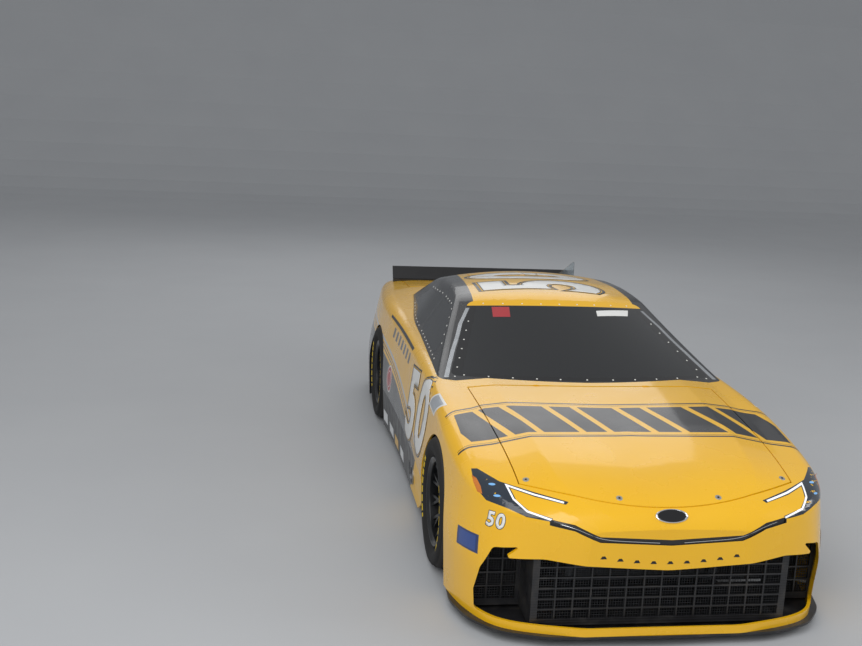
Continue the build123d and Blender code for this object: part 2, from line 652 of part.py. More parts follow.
write("exhaust_outlets", outlet, mirror_x(outlet))

diffuser_front_y, diffuser_rear_y, diffuser_w, diffuser_z = DIFFUSER
tail = fixed_skin & box(-SIDE_REACH, SIDE_REACH, TAIL_SIDE_Y + half_seam, END_REACH, 0, BIG)
tail = tail - box(-SIDE_REACH, SIDE_REACH, 2000, TAIL_SEAM_Y + half_seam, TAIL_SIDE_Z - half_seam, BIG)
tail_opening = [(-diffuser_w - 20, 0), (diffuser_w + 20, 0),
                (diffuser_w, diffuser_z + 30), (-diffuser_w, diffuser_z + 30)]
tail = tail - front_prism(tail_opening, (0, 0, 30, 30), 2300, END_REACH)
write("rear_fascia", tail)

# Canopy with its window openings and flap pockets
left_pocket_box = box(*FLAP_X, *FLAP_Y, 1000, BIG)
pocket_form = canopy_out - canopy(FLAP_POCKET)
pocket = left_pocket_box & pocket_form
flap_box = box(FLAP_X[0] + FLAP_GAP, FLAP_X[1] - FLAP_GAP,
               FLAP_Y[0] + FLAP_FRONT_GAP, FLAP_Y[1] - FLAP_GAP, 1000, BIG)
flap = flap_box & (canopy_out - canopy(FLAP_THICK))
flap_pin_y = FLAP_Y[0] + FLAP_FRONT_GAP + 4
pin_from = (FLAP_X[0] + FLAP_GAP, flap_pin_y,
            height_on(canopy_out, FLAP_X[0] + FLAP_GAP, flap_pin_y) - FLAP_PIN_DEPTH)
pin_to = (FLAP_X[1] - FLAP_GAP, flap_pin_y,
          height_on(canopy_out, FLAP_X[1] - FLAP_GAP, flap_pin_y) - FLAP_PIN_DEPTH)
pin_line = (Vector(*pin_to) - Vector(*pin_from)).normalized()


def flap_pins(radius, reach):
    """Both pins of the left flap, or the bores for them."""
    ends = ((Vector(*pin_from), pin_line), (Vector(*pin_to), pin_line * -1))
    return fuse([bar(tuple(at - inward * reach), tuple(at + inward * FLAP_PIN_IN), radius) for at, inward in ends])


flap = flap.fuse(flap_pins(FLAP_PIN_R, FLAP_PIN_OUT))
write("roof_flap_left", flap)
write("roof_flap_right", mirror_x(flap))
flap_cut = pocket.fuse(flap_pins(FLAP_PIN_R + PIN_PLAY, FLAP_PIN_OUT + 1))

windshield_cut = glass_prism(WINDSHIELD_LOW, WINDSHIELD_TOP, 0)
backlight_cut = glass_prism(BACKLIGHT_LOW, BACKLIGHT_TOP, 0)
side_cuts = [
    side_window_prism(points, 0, x0, x1)
    for points in (DOOR_WINDOW, REAR_SIDE_WINDOW)
    for x0, x1 in ((SIDE_WINDOW_X, 1000), (-1000, -SIDE_WINDOW_X))
]
roof = canopy_out - canopy_in - lower_body(FLANGE_DEPTH)
roof = roof - windshield_cut - backlight_cut - fuse(side_cuts) - flap_cut - mirror_x(flap_cut)
write("roof", roof)

# Panes lie flush in their openings; the driver's window holds a net instead of glass
glass_form = canopy_out - canopy(GLASS)
write("windshield", glass_form & glass_prism(WINDSHIELD_LOW, WINDSHIELD_TOP, -FIT))
write("rear_window", glass_form & glass_prism(BACKLIGHT_LOW, BACKLIGHT_TOP, -FIT))
rear_pane = glass_form & side_window_prism(REAR_SIDE_WINDOW, -FIT, SIDE_WINDOW_X, 1000)
door_pane = glass_form & side_window_prism(DOOR_WINDOW, -FIT, -1000, -SIDE_WINDOW_X)
write("side_windows", rear_pane, mirror_x(rear_pane), door_pane)
write("window_net", (canopy(6) - canopy(10)) & side_window_prism(DOOR_WINDOW, -FIT, SIDE_WINDOW_X, 1000))

# Roof fin and spoiler
fin = side_prism(FIN_OUTLINE, FIN_RADII, FIN_X, FIN_X + FIN_THICK)
write("roof_fin", fin - canopy(-FIT) - lower_seat)
lean = math.tan(math.radians(SPOILER_LEAN))
deck_rear_z = height_on(lower_out, 0, SPOILER_Y)
foot_z = deck_rear_z - SPOILER_FOOT
tip_z = deck_rear_z + SPOILER_HIGH
thick_y = SPOILER_THICK / math.cos(math.radians(SPOILER_LEAN))
back_y = SPOILER_Y + thick_y
deck_end_y = TAIL_SEAM_Y - LID_GAP - 2
blade = side_prism(
    [(SPOILER_Y - SPOILER_FOOT * lean, foot_z), (back_y - SPOILER_FOOT * lean, foot_z),
     (back_y + SPOILER_HIGH * lean, tip_z), (SPOILER_Y + SPOILER_HIGH * lean, tip_z)],
    (0, 0, 0, 0), -SPOILER_HALF_W, SPOILER_HALF_W)
flange = box(-SPOILER_HALF_W, SPOILER_HALF_W, SPOILER_Y - SPOILER_FLANGE, SPOILER_Y + 5,
             foot_z, deck_rear_z + 5)
braces = [
    side_prism([(SPOILER_Y - SPOILER_FOOT * lean + 2, foot_z), (deck_end_y, foot_z),
                (deck_end_y, deck_rear_z + 6), (SPOILER_Y + BRACE_HIGH * lean + 2, deck_rear_z + BRACE_HIGH)],
               (0, 0, 0, 0), x - SPOILER_THICK / 2, x + SPOILER_THICK / 2)
    for x in SPOILER_BRACES
]
write("spoiler", blade.fuse(flange, *braces) - lower_seat)

# Floor and diffuser
neck_w, cabin_w, tail_w = FLOOR_HALF_W
arch_reach = ARCH_R + FLOOR_CLEAR
floor_half = [
    (neck_w, FLOOR_FRONT_Y), (neck_w, FRONT_AXLE_Y + arch_reach), (cabin_w, FRONT_AXLE_Y + arch_reach),
    (cabin_w, REAR_AXLE_Y - arch_reach), (neck_w, REAR_AXLE_Y - arch_reach),
    (neck_w, REAR_AXLE_Y + arch_reach), (tail_w, REAR_AXLE_Y + arch_reach), (tail_w, diffuser_front_y - FIT),
]
floor_points = floor_half + [(-x, y) for x, y in reversed(floor_half)]
floor = plan_prism(floor_points, [0] * len(floor_points), FLOOR_Z, FLOOR_Z + FLOOR_THICK)
write("underfloor", floor & lower_fit)

ramp = side_prism(
    [(diffuser_front_y, FLOOR_Z), (diffuser_rear_y, diffuser_z), (diffuser_rear_y, diffuser_z + 6),
     (diffuser_front_y, FLOOR_Z + FLOOR_THICK)],
    (0, 0, 0, 0), -diffuser_w, diffuser_w)
strakes = [
    side_prism([(diffuser_front_y + 60, FLOOR_Z + 2), (diffuser_rear_y - 10, FLOOR_Z + 20),
                (diffuser_rear_y - 10, diffuser_z), (diffuser_front_y + 60, FLOOR_Z + 22)],
               (0, 0, 0, 0), x - 3, x + 3)
    for x in (-diffuser_w + 3, -372, -124, 124, 372, diffuser_w - 3)
]
write("rear_diffuser", ramp.fuse(*strakes))

# Wheel liners: a skin round each arch and an inner wall with a window for the suspension
liner_x = ARCH_INNER_X - LINER_DEPTH
window_y, window_z = LINER_WINDOW
liners = []
for axle_y in (FRONT_AXLE_Y, REAR_AXLE_Y):
    outer = arch_prism(axle_y, ARCH_Z, LINER_GAP + LINER_THICK, liner_x, SIDE_REACH)
    liner = (outer - arch_prism(axle_y, ARCH_Z, LINER_GAP, liner_x - 1, SIDE_REACH + 1)) & lower_fit
    wall = arch_prism(axle_y, ARCH_Z, LINER_GAP + LINER_THICK, liner_x - LINER_THICK, liner_x)
    wall = wall - box(0, SIDE_REACH, axle_y - window_y, axle_y + window_y, 0, window_z)
    liner = liner.fuse(wall) - box(0, SIDE_REACH, -BIG, BIG, 0, FLOOR_Z)
    liners += [liner, mirror_x(liner)]
write("wheel_liners", *liners)


def tube_run(points, radius=TUBE_R, bend=BEND_R):
    """Tube along a row of points, bent at each one between its ends."""
    if len(points) == 2:
        return [bar(*points, radius)]
    path = FilletPolyline(*points, radius=bend)
    return [sweep(Plane(origin=path @ 0, z_dir=path % 0) * Circle(radius), path=path)]


def both_sides(points):
    """A row of points and its mirror image."""
    return [points, [(-x, y, z) for x, y, z in points]]


# Cabin tub: floor, tunnel, low sides, firewall and bulkhead
tub_z = FLOOR_Z + FLOOR_THICK + FIT
tunnel_w, tunnel_z = TUNNEL
tub = box(-TUB_HALF_W, TUB_HALF_W, FIREWALL_Y, BULKHEAD_Y, tub_z, FIREWALL_TOP_Z)
tub = tub - box(-TUB_HALF_W + TUB_WALL, TUB_HALF_W - TUB_WALL, FIREWALL_Y + TUB_WALL,
                BULKHEAD_Y - TUB_WALL, tub_z + TUB_WALL, BIG)
tub = tub - box(-BIG, BIG, FIREWALL_Y + TUB_WALL, BIG, TUB_SIDE_Z, BIG).cut(
    box(-BIG, BIG, BULKHEAD_Y - TUB_WALL, BULKHEAD_Y, 0, BULKHEAD_TOP_Z))
tub = tub.fuse(box(-tunnel_w, tunnel_w, FIREWALL_Y, BULKHEAD_Y, tub_z, tunnel_z))
tub = tub - box(-tunnel_w + TUB_WALL, tunnel_w - TUB_WALL, FIREWALL_Y - 1, BULKHEAD_Y + 1, 0,
                tunnel_z - TUB_WALL)
write("cabin_tub", tub)

# Roll cage
cage_foot_z = tub_z + TUB_WALL + FIT
bar_low_z = cage_foot_z - 10
hoop_low, hoop_shoulder, hoop_top = (640, HOOP_Y, bar_low_z), (690, HOOP_Y, 860), (520, HOOP_Y, HOOP_TOP_Z)
header_end = (470, *HEADER_BAR)
dash_end = (650, *DASH_BAR)
leg_foot = (645, -640, bar_low_z)
rear_foot = (HIGH_RAIL[0], REAR_AXLE_Y - 188, HIGH_RAIL[1] + 2 * TUBE_R + FIT)
cage = tube_run([hoop_low, hoop_shoulder, hoop_top, (-520, HOOP_Y, HOOP_TOP_Z), (-690, HOOP_Y, 860),
                 (-640, HOOP_Y, bar_low_z)])
cage += tube_run([header_end, (-470, *HEADER_BAR)], BRACE_R)
cage += tube_run([dash_end, (-650, *DASH_BAR)], BRACE_R)
cage += tube_run([(0, HOOP_Y, HOOP_TOP_Z), (0, *HEADER_BAR)], BRACE_R)
cage += tube_run([(-679, HOOP_Y, 700), (679, HOOP_Y, 700)], BRACE_R)
cage += tube_run([(-645, HOOP_Y, 160), (480, HOOP_Y, HOOP_TOP_Z)], BRACE_R)
for points in both_sides([(450, HOOP_Y, HOOP_TOP_Z), header_end, dash_end, leg_foot]):
    cage += tube_run(points, HALO_R)
for points in both_sides([(470, HOOP_Y, 1178), rear_foot]):
    cage += tube_run(points, BRACE_R)
    foot_x, foot_y, foot_z = points[1]
    cage.append(box(foot_x - 24, foot_x + 24, foot_y - 40, foot_y + 40, foot_z - TUBE_R, foot_z))
for bar_z in DOOR_BAR_Z:
    share = (DASH_BAR[1] - bar_z) / (DASH_BAR[1] - cage_foot_z)
    leg_y = DASH_BAR[0] + (leg_foot[1] - DASH_BAR[0]) * share
    for points in both_sides([(647, leg_y, bar_z), (DOOR_BAR_X, -330, bar_z), (DOOR_BAR_X, 60, bar_z),
                              (665, HOOP_Y, bar_z)]):
        cage += tube_run(points, BRACE_R)
write("roll_cage", fuse(cage) - box(-BIG, BIG, -BIG, BIG, -BIG, cage_foot_z))

# Front clip with the rack housing and damper towers
rail_x, rail_z = LOW_RAIL
high_x, high_z = HIGH_RAIL
clip_end_y = FIREWALL_Y - FIT
rack_y = FRONT_AXLE_Y - RACK_AHEAD


def tower(axle_y, side):
    """Plate on the upper rail that carries the damper's top."""
    inner, outer = sorted((side * (high_x - 15), side * (high_x + 60)))
    post = sorted((side * (high_x - 15), side * high_x))
    return [box(inner, outer, axle_y - 30, axle_y + 90, 650, 658),
            box(*post, axle_y - 30, axle_y + 90, high_z, 658)]


clip = []
for side in (-1, 1):
    clip += tube_run([(side * rail_x, clip_end_y, rail_z), (side * rail_x, -2080, rail_z),
                      (side * rail_x, -2110, 420), (side * high_x, -1960, high_z),
                      (side * high_x, clip_end_y, high_z)])
    for y in (FRONT_AXLE_Y - PICKUP_Y, FRONT_AXLE_Y + PICKUP_Y):
        clip += tube_run([(side * rail_x, y, rail_z), (side * high_x, y, high_z)], BRACE_R)
    clip += tube_run([(side * 280, rack_y, RACK_Z), (side * 386, FRONT_AXLE_Y - PICKUP_Y, RACK_Z)], 14)
    clip += tower(FRONT_AXLE_Y, side)
clip += tube_run([(-rail_x, -1960, rail_z), (rail_x, -1960, rail_z)], BRACE_R)
clip += tube_run([(-520, -2104, 420), (520, -2104, 420)], BUMPER_R)
clip += tube_run([(-high_x, -1880, high_z), (high_x, -1880, high_z)], BRACE_R)
clip += [cylinder_x(rack_y, RACK_Z, 26, -300, 300)]
write("front_clip", fuse(clip) - cylinder_x(rack_y, RACK_Z, RACK_R + SLIDE_PLAY, -BIG, BIG))

# Rear clip
clip = []
bulkhead_seat_y = BULKHEAD_Y + FIT
rear_x = REAR_LOW_RAIL_X
for side in (-1, 1):
    clip += tube_run([(side * rear_x, bulkhead_seat_y, rail_z), (side * rear_x, REAR_AXLE_Y + 612, rail_z),
                      (side * rear_x, REAR_AXLE_Y + 932, 330), (side * rear_x, REAR_AXLE_Y + 932, 480),
                      (side * high_x, REAR_AXLE_Y + 532, high_z), (side * high_x, bulkhead_seat_y, high_z)],
                     TUBE_R, 60)
    for y in (REAR_AXLE_Y - PICKUP_Y, REAR_AXLE_Y + PICKUP_Y):
        clip += tube_run([(side * rear_x, y, rail_z), (side * high_x, y, high_z)], BRACE_R)
    clip += tower(REAR_AXLE_Y, side)
clip += tube_run([(-480, REAR_AXLE_Y + 926, 405), (480, REAR_AXLE_Y + 926, 405)], BUMPER_R)
clip += tube_run([(-high_x, REAR_AXLE_Y + 472, high_z), (high_x, REAR_AXLE_Y + 472, high_z)], BRACE_R)
clip += tube_run([(-rear_x, REAR_AXLE_Y + 607, rail_z), (rear_x, REAR_AXLE_Y + 607, rail_z)], BRACE_R)
write("rear_clip", fuse(clip))

# Masses between the rails: radiator, engine, transaxle and fuel cell
rail_gap = rail_x - TUBE_R - FIT
write("radiator", box(-rail_gap, rail_gap, -2040, -1985, 160, 540))
engine = [box(-150, 150, -1450, -900, 190, 430), box(-110, 110, -1420, -960, 430, 640)]
engine += [Pos(side * 140, -1180, 470) * Rot(0, side * 45, 0) * Box(130, 520, 260) for side in (-1, 1)]
engine.append(Solid.make_cylinder(185, 60, Plane((0, -1180, 640))))
engine += [box(*sorted((side * 140, side * rail_gap)), -1210, -1170, 150, 230) for side in (-1, 1)]
engine.append(Solid.make_cylinder(140, clip_end_y + 905, Plane(origin=(0, -905, 330), z_dir=(0, 1, 0))))
write("engine", fuse(engine))
rear_gap = rear_x - TUBE_R - FIT
axle_z = TYRE_R
transaxle = [box(-150, 150, REAR_AXLE_Y - 128, REAR_AXLE_Y + 272, 215, 480)]
transaxle += [cylinder_x(REAR_AXLE_Y, axle_z, 62, -172, 172)]
transaxle += [box(*sorted((side * 140, side * rear_gap)), REAR_AXLE_Y + 112, REAR_AXLE_Y + 152,
                   155, 235) for side in (-1, 1)]
write("transaxle", fuse(transaxle))
write("fuel_cell", box(-rear_gap, rear_gap, REAR_AXLE_Y + 322, REAR_AXLE_Y + 582, 150, 500))

# Seat, dashboard with the column tube, steering wheel with its shaft
seat = side_prism([(-310, 120), (80, 110), (215, 840), (60, 840), (40, 560), (-60, 350), (-300, 300)],
                  (30, 60, 30, 40, 80, 120, 60), DRIVER_X - 225, DRIVER_X + 225)
seat = seat - side_prism([(-500, 165), (40, 150), (178, 900), (-500, 900)], (0, 60, 0, 0),
                         DRIVER_X - 211, DRIVER_X + 211)
feet = [box(DRIVER_X + x - 20, DRIVER_X + x + 20, -260, 60, cage_foot_z, 150) for x in (-160, 160)]
write("seat", seat.fuse(*feet))

wheel_y, wheel_z = STEERING_WHEEL
slope = math.radians(COLUMN_SLOPE)
column_plane = Plane(origin=(DRIVER_X, wheel_y, wheel_z), x_dir=(1, 0, 0),
                     z_dir=(0, -math.cos(slope), -math.sin(slope)))
column_shaft = Solid.make_cylinder(11, 400, column_plane)
bar_under_z = dash_end[2] - BRACE_R - FIT
dash = [box(-590, 590, -720, -500, bar_under_z - 6, bar_under_z),
        box(-590, 590, -560, -552, 620, bar_under_z)]
dash.append(Solid.make_cylinder(22, 150, column_plane.offset(90)))
write("dashboard", fuse(dash) - Solid.make_cylinder(11 + SLIDE_PLAY, 500, column_plane.offset(-20)))
wheel_ring = column_plane * Torus(STEERING_WHEEL_R, 13)
wheel_hub = Solid.make_cylinder(42, 40, column_plane.offset(-6))
wheel_spokes = [column_plane * Rot(0, 0, a) * Pos(STEERING_WHEEL_R / 2, 0, 4) * Box(STEERING_WHEEL_R, 34, 6)
                for a in (10, 170, 270)]
write("steering_wheel", wheel_ring.fuse(wheel_hub, column_shaft, *wheel_spokes))


# Wheel ends, modelled for the left side and mirrored
def upright(axle_y):
    """Knuckle plate with its joint pins, hub bore and brake caliper."""
    plate = side_prism([(axle_y - 45, 226), (axle_y + 45, 226), (axle_y + 80, axle_z), (axle_y + 35, 484),
                        (axle_y - 35, 484), (axle_y - 80, axle_z)],
                       (20, 20, 60, 15, 15, 60), KINGPIN_X - 18, KINGPIN_X + 18)
    pins = [bar((KINGPIN_X, axle_y, 190), (KINGPIN_X, axle_y, 240), JOINT_PIN_R),
            bar((KINGPIN_X, axle_y, 470), (KINGPIN_X, axle_y, 520), JOINT_PIN_R)]
    disc_x = TRACK_HALF + DISC_X
    caliper = cylinder_x(axle_y, axle_z, 203, disc_x - 38, disc_x + 38)
    caliper = caliper - cylinder_x(axle_y, axle_z, DISC_R + 6, disc_x - 24, disc_x + 24)
    caliper = caliper & box(0, BIG, axle_y + 105, BIG, axle_z - 85, axle_z + 85)
    bracket = box(KINGPIN_X - 6, disc_x - 26, axle_y + 50, axle_y + 150, axle_z - 55, axle_z + 55)
    body = plate.fuse(*pins, caliper, bracket)
    return body - cylinder_x(axle_y, axle_z, HUB_SHAFT_R + 1, KINGPIN_X - 60, KINGPIN_X + 30)


def wishbone(axle_y, inner_x, inner_z, joint_z, cross):
    """Arm from two bushes on the frame to an eye round the joint pin."""
    pieces = [bar((KINGPIN_X, axle_y, joint_z - 10), (KINGPIN_X, axle_y, joint_z + 10), 22)]
    for side in (-1, 1):
        y = axle_y + side * PICKUP_Y
        pieces.append(bar((KINGPIN_X - 14, axle_y + side * 8, joint_z), (inner_x, y, inner_z), ARM_R))
        pieces.append(bar((inner_x, y - 20, inner_z), (inner_x, y + 20, inner_z), BUSH_R))
    if cross:
        share = (KINGPIN_X - cross) / (KINGPIN_X - inner_x)
        z = joint_z + (inner_z - joint_z) * share
        pieces.append(bar((cross, axle_y - PICKUP_Y * share, z), (cross, axle_y + PICKUP_Y * share, z), ARM_R))
    return fuse(pieces) - bar((KINGPIN_X, axle_y, joint_z - 30), (KINGPIN_X, axle_y, joint_z + 30),
                              JOINT_PIN_R + PIN_PLAY)


damper_foot_x = 560.0
arms, dampers = [], []
for axle_y, low_x, damper_y in ((FRONT_AXLE_Y, rail_x, 0), (REAR_AXLE_Y, rear_x, 55)):
    post_lean = (high_x - low_x) / (high_z - rail_z)
    bush_x = low_x + (TUBE_R + BUSH_R + FIT) * math.hypot(1, post_lean)
    low_arm = wishbone(axle_y, bush_x, rail_z, LOW_JOINT_Z, damper_foot_x)
    post_x = low_x + post_lean * (HIGH_JOINT_Z - rail_z)
    post_reach = (BRACE_R + BUSH_R + FIT) * math.hypot(1, post_lean)
    high_arm = wishbone(axle_y, post_x + post_reach, HIGH_JOINT_Z, HIGH_JOINT_Z, 0)
    arms += [low_arm, mirror_x(low_arm), high_arm, mirror_x(high_arm)]
    share = (KINGPIN_X - damper_foot_x) / (KINGPIN_X - bush_x)
    foot_z = LOW_JOINT_Z + (rail_z - LOW_JOINT_Z) * share + ARM_R + BUSH_R + FIT
    foot = Vector(damper_foot_x, axle_y + damper_y, foot_z)
    top = Vector(high_x + 30, axle_y + damper_y, 650 - BUSH_R - FIT)
    along = top - foot
    damper = fuse([
        bar(tuple(foot - Vector(0, 20, 0)), tuple(foot + Vector(0, 20, 0)), BUSH_R),
        bar(tuple(top - Vector(0, 20, 0)), tuple(top + Vector(0, 20, 0)), BUSH_R),
        bar(tuple(foot), tuple(foot + along * 0.55), 26),
        bar(tuple(foot + along * 0.5), tuple(top), 10),
        bar(tuple(foot + along * 0.84), tuple(foot + along * 0.88), 36),
        bar(tuple(foot + along * 0.2), tuple(foot + along * 0.24), 36),
    ])
    dampers += [damper, mirror_x(damper)]
write("wishbones", *arms)
write("dampers", *dampers)

knuckle = upright(FRONT_AXLE_Y)
eye_x = KINGPIN_X - 4
knuckle = knuckle.fuse(
    box(eye_x - 14, eye_x + 14, rack_y - 14, FRONT_AXLE_Y - 50, RACK_Z - 21, RACK_Z - 9),
    bar((eye_x, rack_y, RACK_Z - 15), (eye_x, rack_y, RACK_Z + 18), 8))
write("knuckle_front_left", knuckle)
write("knuckle_front_right", mirror_x(knuckle))
rear_knuckle = upright(REAR_AXLE_Y)
write("rear_knuckles", rear_knuckle, mirror_x(rear_knuckle))

rack = [cylinder_x(rack_y, RACK_Z, RACK_R, -eye_x + 20, eye_x - 20)]
rack += [bar((side * eye_x, rack_y, RACK_Z - 6), (side * eye_x, rack_y, RACK_Z + 6), 24) for side in (-1, 1)]
rack_holes = [bar((side * eye_x, rack_y, 0), (side * eye_x, rack_y, 900), 16) for side in (-1, 1)]
write("steering_rack", fuse(rack) - rack_holes)


def spin(points, radii):
    """Ring about the wheel's axis from an outline in distance outwards and radius."""
    plane = Plane(origin=(0, 0, 0), x_dir=(1, 0, 0), z_dir=(0, -1, 0))
    return revolve(Face(outline(plane, points, radii)), axis=Axis.X, revolution_arc=360)


# Tyre and rim about the origin, outer side towards +X
half_tread, half_wide = 140.0, TYRE_WIDTH / 2
half_rim = RIM_WIDTH / 2
bead_r = RIM_R + BEAD_GAP
bead_x = half_rim - 12 - FIT
tyre = spin([(-bead_x, bead_r), (-bead_x, 246), (-half_wide, 285), (-half_wide, 330), (-half_tread, TYRE_R),
             (half_tread, TYRE_R), (half_wide, 330), (half_wide, 285), (bead_x, 246), (bead_x, bead_r),
             (bead_x - 14, bead_r), (bead_x - 14, 250), (158, 288), (152, 325), (125, TYRE_R - 14),
             (-125, TYRE_R - 14), (-152, 325), (-158, 288), (14 - bead_x, 250), (14 - bead_x, bead_r)],
            (BEAD_ROUND, 3, 40, 30, 30, 30, 30, 40, 3, BEAD_ROUND, 0, 20, 40, 25, 25, 25, 25, 40, 20, 0))
rim = spin([(-half_rim, 241), (-half_rim, 233), (-half_rim + 14, 221), (-90, 214), (half_rim - 14, 214),
            (half_rim, 233), (half_rim, 241), (half_rim - 10, 241), (half_rim - 12, RIM_R),
            (half_rim - 40, RIM_R), (half_rim - 52, 221), (-80, 221), (-half_rim + 46, RIM_R),
            (-half_rim + 12, RIM_R), (-half_rim + 10, 241)],
           (0, 3, 8, 8, 8, 3, 0, 0, 3, 6, 6, 6, 6, 3, 0))
hub_face = 68.0
spoke = [(58, -15), (136, -11), (222, -37), (224, -24), (156, 0), (224, 24), (222, 37), (136, 11), (58, 15)]
spoke_plane = Plane(origin=(60, 0, 0), x_dir=(0, 0, 1), z_dir=(1, 0, 0))
star = fuse([
    Rot(360 / SPOKES * i, 0, 0) * extrude(Face(outline(spoke_plane, spoke, [0] * len(spoke))), amount=90)
    for i in range(SPOKES)
])
dish = spin([(hub_face, 50), (hub_face, 75), (104, 218), (104, 219), (130, 219), (130, 218), (92, 75), (86, 50)],
            [0] * 8)
pad = spin([(hub_face, 39), (86, 39), (86, 50), (92, 74), (88, 82), (hub_face, 82)], (0, 0, 0, 4, 4, 0))
rim = rim.fuse(star & dish, pad)
hub = spin([(-112, 0), (86 + 32, 0), (86 + 32, 30), (86 + FIT, 34), (86 + FIT, 38), (hub_face - FIT, 38),
            (hub_face - FIT, HUB_R), (-6, HUB_R), (-6, 100), (0, 100), (0, DISC_R), (-DISC_THICK, DISC_R),
            (-DISC_THICK, 112), (-14, 112), (-14, HUB_R - 8), (-40, HUB_R - 8), (-40, HUB_SHAFT_R),
            (-112, HUB_SHAFT_R)], [0] * 18)
nut = extrude(RegularPolygon(46, 6), amount=26)
nut = Pos(86 + FIT, 0, 0) * Rot(0, 90, 0) * nut
hub = hub.fuse(nut)
half_shaft = fuse([
    cylinder_x(0, 0, 48, 180 - TRACK_HALF, 242 - TRACK_HALF),
    cylinder_x(0, 0, 16, 230 - TRACK_HALF, 660 - TRACK_HALF),
    cylinder_x(0, 0, 46, 640 - TRACK_HALF, 704 - TRACK_HALF),
])
driven_hub = hub.fuse(half_shaft)
for name, axle_y in (("front", FRONT_AXLE_Y), ("rear", REAR_AXLE_Y)):
    place = Pos(TRACK_HALF, axle_y, axle_z)
    for kind, shape in (("tyre", tyre), ("rim", rim), ("brake_disc", hub if name == "front" else driven_hub)):
        left = place * shape
        write(f"{kind}_{name}_left", left)
        write(f"{kind}_{name}_right", mirror_x(left))
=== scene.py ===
"""Looks of a closed-wheel stock race car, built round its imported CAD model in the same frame, in metres.

+Z is up, the nose points to -Y and the car's left side is +X. The car wears a yellow wrap with plain
numbers and plain blocks and stripes, as a display car that belongs to no team.
"""

import math

import bpy
from mathutils import Matrix, Vector


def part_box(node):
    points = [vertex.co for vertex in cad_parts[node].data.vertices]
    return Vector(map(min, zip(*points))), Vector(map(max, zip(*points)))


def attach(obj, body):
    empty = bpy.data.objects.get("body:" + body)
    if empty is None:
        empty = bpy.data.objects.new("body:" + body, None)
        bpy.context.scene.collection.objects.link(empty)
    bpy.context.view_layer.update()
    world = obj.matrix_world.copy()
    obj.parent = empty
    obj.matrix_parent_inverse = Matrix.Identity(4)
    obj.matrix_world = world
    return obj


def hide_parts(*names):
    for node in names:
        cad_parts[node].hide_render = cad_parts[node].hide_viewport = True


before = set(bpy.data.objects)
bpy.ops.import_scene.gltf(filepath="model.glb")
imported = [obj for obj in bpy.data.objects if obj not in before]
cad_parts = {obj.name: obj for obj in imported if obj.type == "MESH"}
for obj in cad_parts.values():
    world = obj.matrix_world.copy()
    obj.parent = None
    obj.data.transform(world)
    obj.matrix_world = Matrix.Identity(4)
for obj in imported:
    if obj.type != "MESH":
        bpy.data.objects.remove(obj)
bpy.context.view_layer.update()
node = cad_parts

# Camera
# It stands five metres ahead of the nose, off to the right, at 2.6 m, and looks down over the hood. Its
# place was solved from points of the car that show in the photograph.
CAMERA_AT = (-2.0026, -7.3564, 2.6235)
CAMERA_YAW, CAMERA_PITCH, CAMERA_ROLL = 9.303, 11.994, 2.879
CAMERA_LENS, CAMERA_SENSOR = 48.84, 36.0

yaw, pitch, roll = (math.radians(angle) for angle in (CAMERA_YAW, CAMERA_PITCH, CAMERA_ROLL))
ahead = Vector((math.sin(yaw) * math.cos(pitch), math.cos(yaw) * math.cos(pitch), -math.sin(pitch)))
level = Vector((math.cos(yaw), -math.sin(yaw), 0.0))
above = level.cross(ahead)
right = level * math.cos(roll) + above * math.sin(roll)
top = above * math.cos(roll) - level * math.sin(roll)
bpy.ops.object.camera_add()
camera = bpy.context.object
camera.data.lens = CAMERA_LENS
camera.data.sensor_width = CAMERA_SENSOR
camera.matrix_world = Matrix.Translation(CAMERA_AT) @ Matrix((right, top, -ahead)).transposed().to_4x4()
bpy.context.scene.camera = camera


# Body wrap
# The panels are moulded carbon composite under a printed vinyl film with a gloss laminate. The film is
# deep yellow, with black lines and plain slanted blocks on the hood and a black sweep along the sides.
YELLOW = "#F8C012"
YELLOW_TONES = (YELLOW, "#F2B70E")
WRAP_BLACK, GROOVE_BLACK, TAIL_BLACK = "#17171A", "#0E0E10", "#131315"
WRAP_BROWN, WRAP_SILVER = "#7A5416", "#B9BDC2"
PANELS = ("nose", "hood", "cowl", "fender_left", "fender_right", "door_left", "door_right",
          "quarter_left", "quarter_right", "decklid", "rear_fascia", "roof_flap_left", "roof_flap_right")
FAR = 9.0                     # stands for no limit at that end of a band
UNDERSIDE = -0.3              # a face whose normal falls steeper than this is bare inside


def linear(colour):
    """A hex sRGB colour as linear red, green, blue and alpha."""
    parts = [int(colour[i:i + 2], 16) / 255 for i in (1, 3, 5)]
    return [*(c / 12.92 if c <= 0.04045 else ((c + 0.055) / 1.055) ** 2.4 for c in parts), 1.0]


def add(tree, kind, *inputs, out=0, **settings):
    """Adds a node with its settings, fills its inputs in order, and gives one of its outputs."""
    made = tree.nodes.new("ShaderNode" + kind)
    for name, value in settings.items():
        setattr(made, name, value)
    for socket, value in zip(made.inputs, inputs):
        if isinstance(value, bpy.types.NodeSocket):
            tree.links.new(value, socket)
        elif value is not None:
            socket.default_value = value
    return made.outputs[out]


def place_of(tree):
    """X, Y, Z and the distance from the car's middle plane."""
    parts = tree.nodes.new("ShaderNodeSeparateXYZ")
    tree.links.new(add(tree, "TexCoord", out=3), parts.inputs[0])
    x, y, z = parts.outputs
    return x, y, z, add(tree, "Math", x, operation="ABSOLUTE")


def straight(tree, start, *terms):
    """Start value plus each value times its slope."""
    total = start
    for value, slope in terms:
        total = add(tree, "Math", value, slope, total, operation="MULTIPLY_ADD")
    return total


def inside(tree, *bands):
    """Mask that is one where every value lies between its two limits."""
    mask = 1.0
    for value, low, high in bands:
        here = add(tree, "Math", value, (low + high) / 2, (high - low) / 2, operation="COMPARE")
        mask = add(tree, "Math", here, mask, operation="MULTIPLY")
    return mask


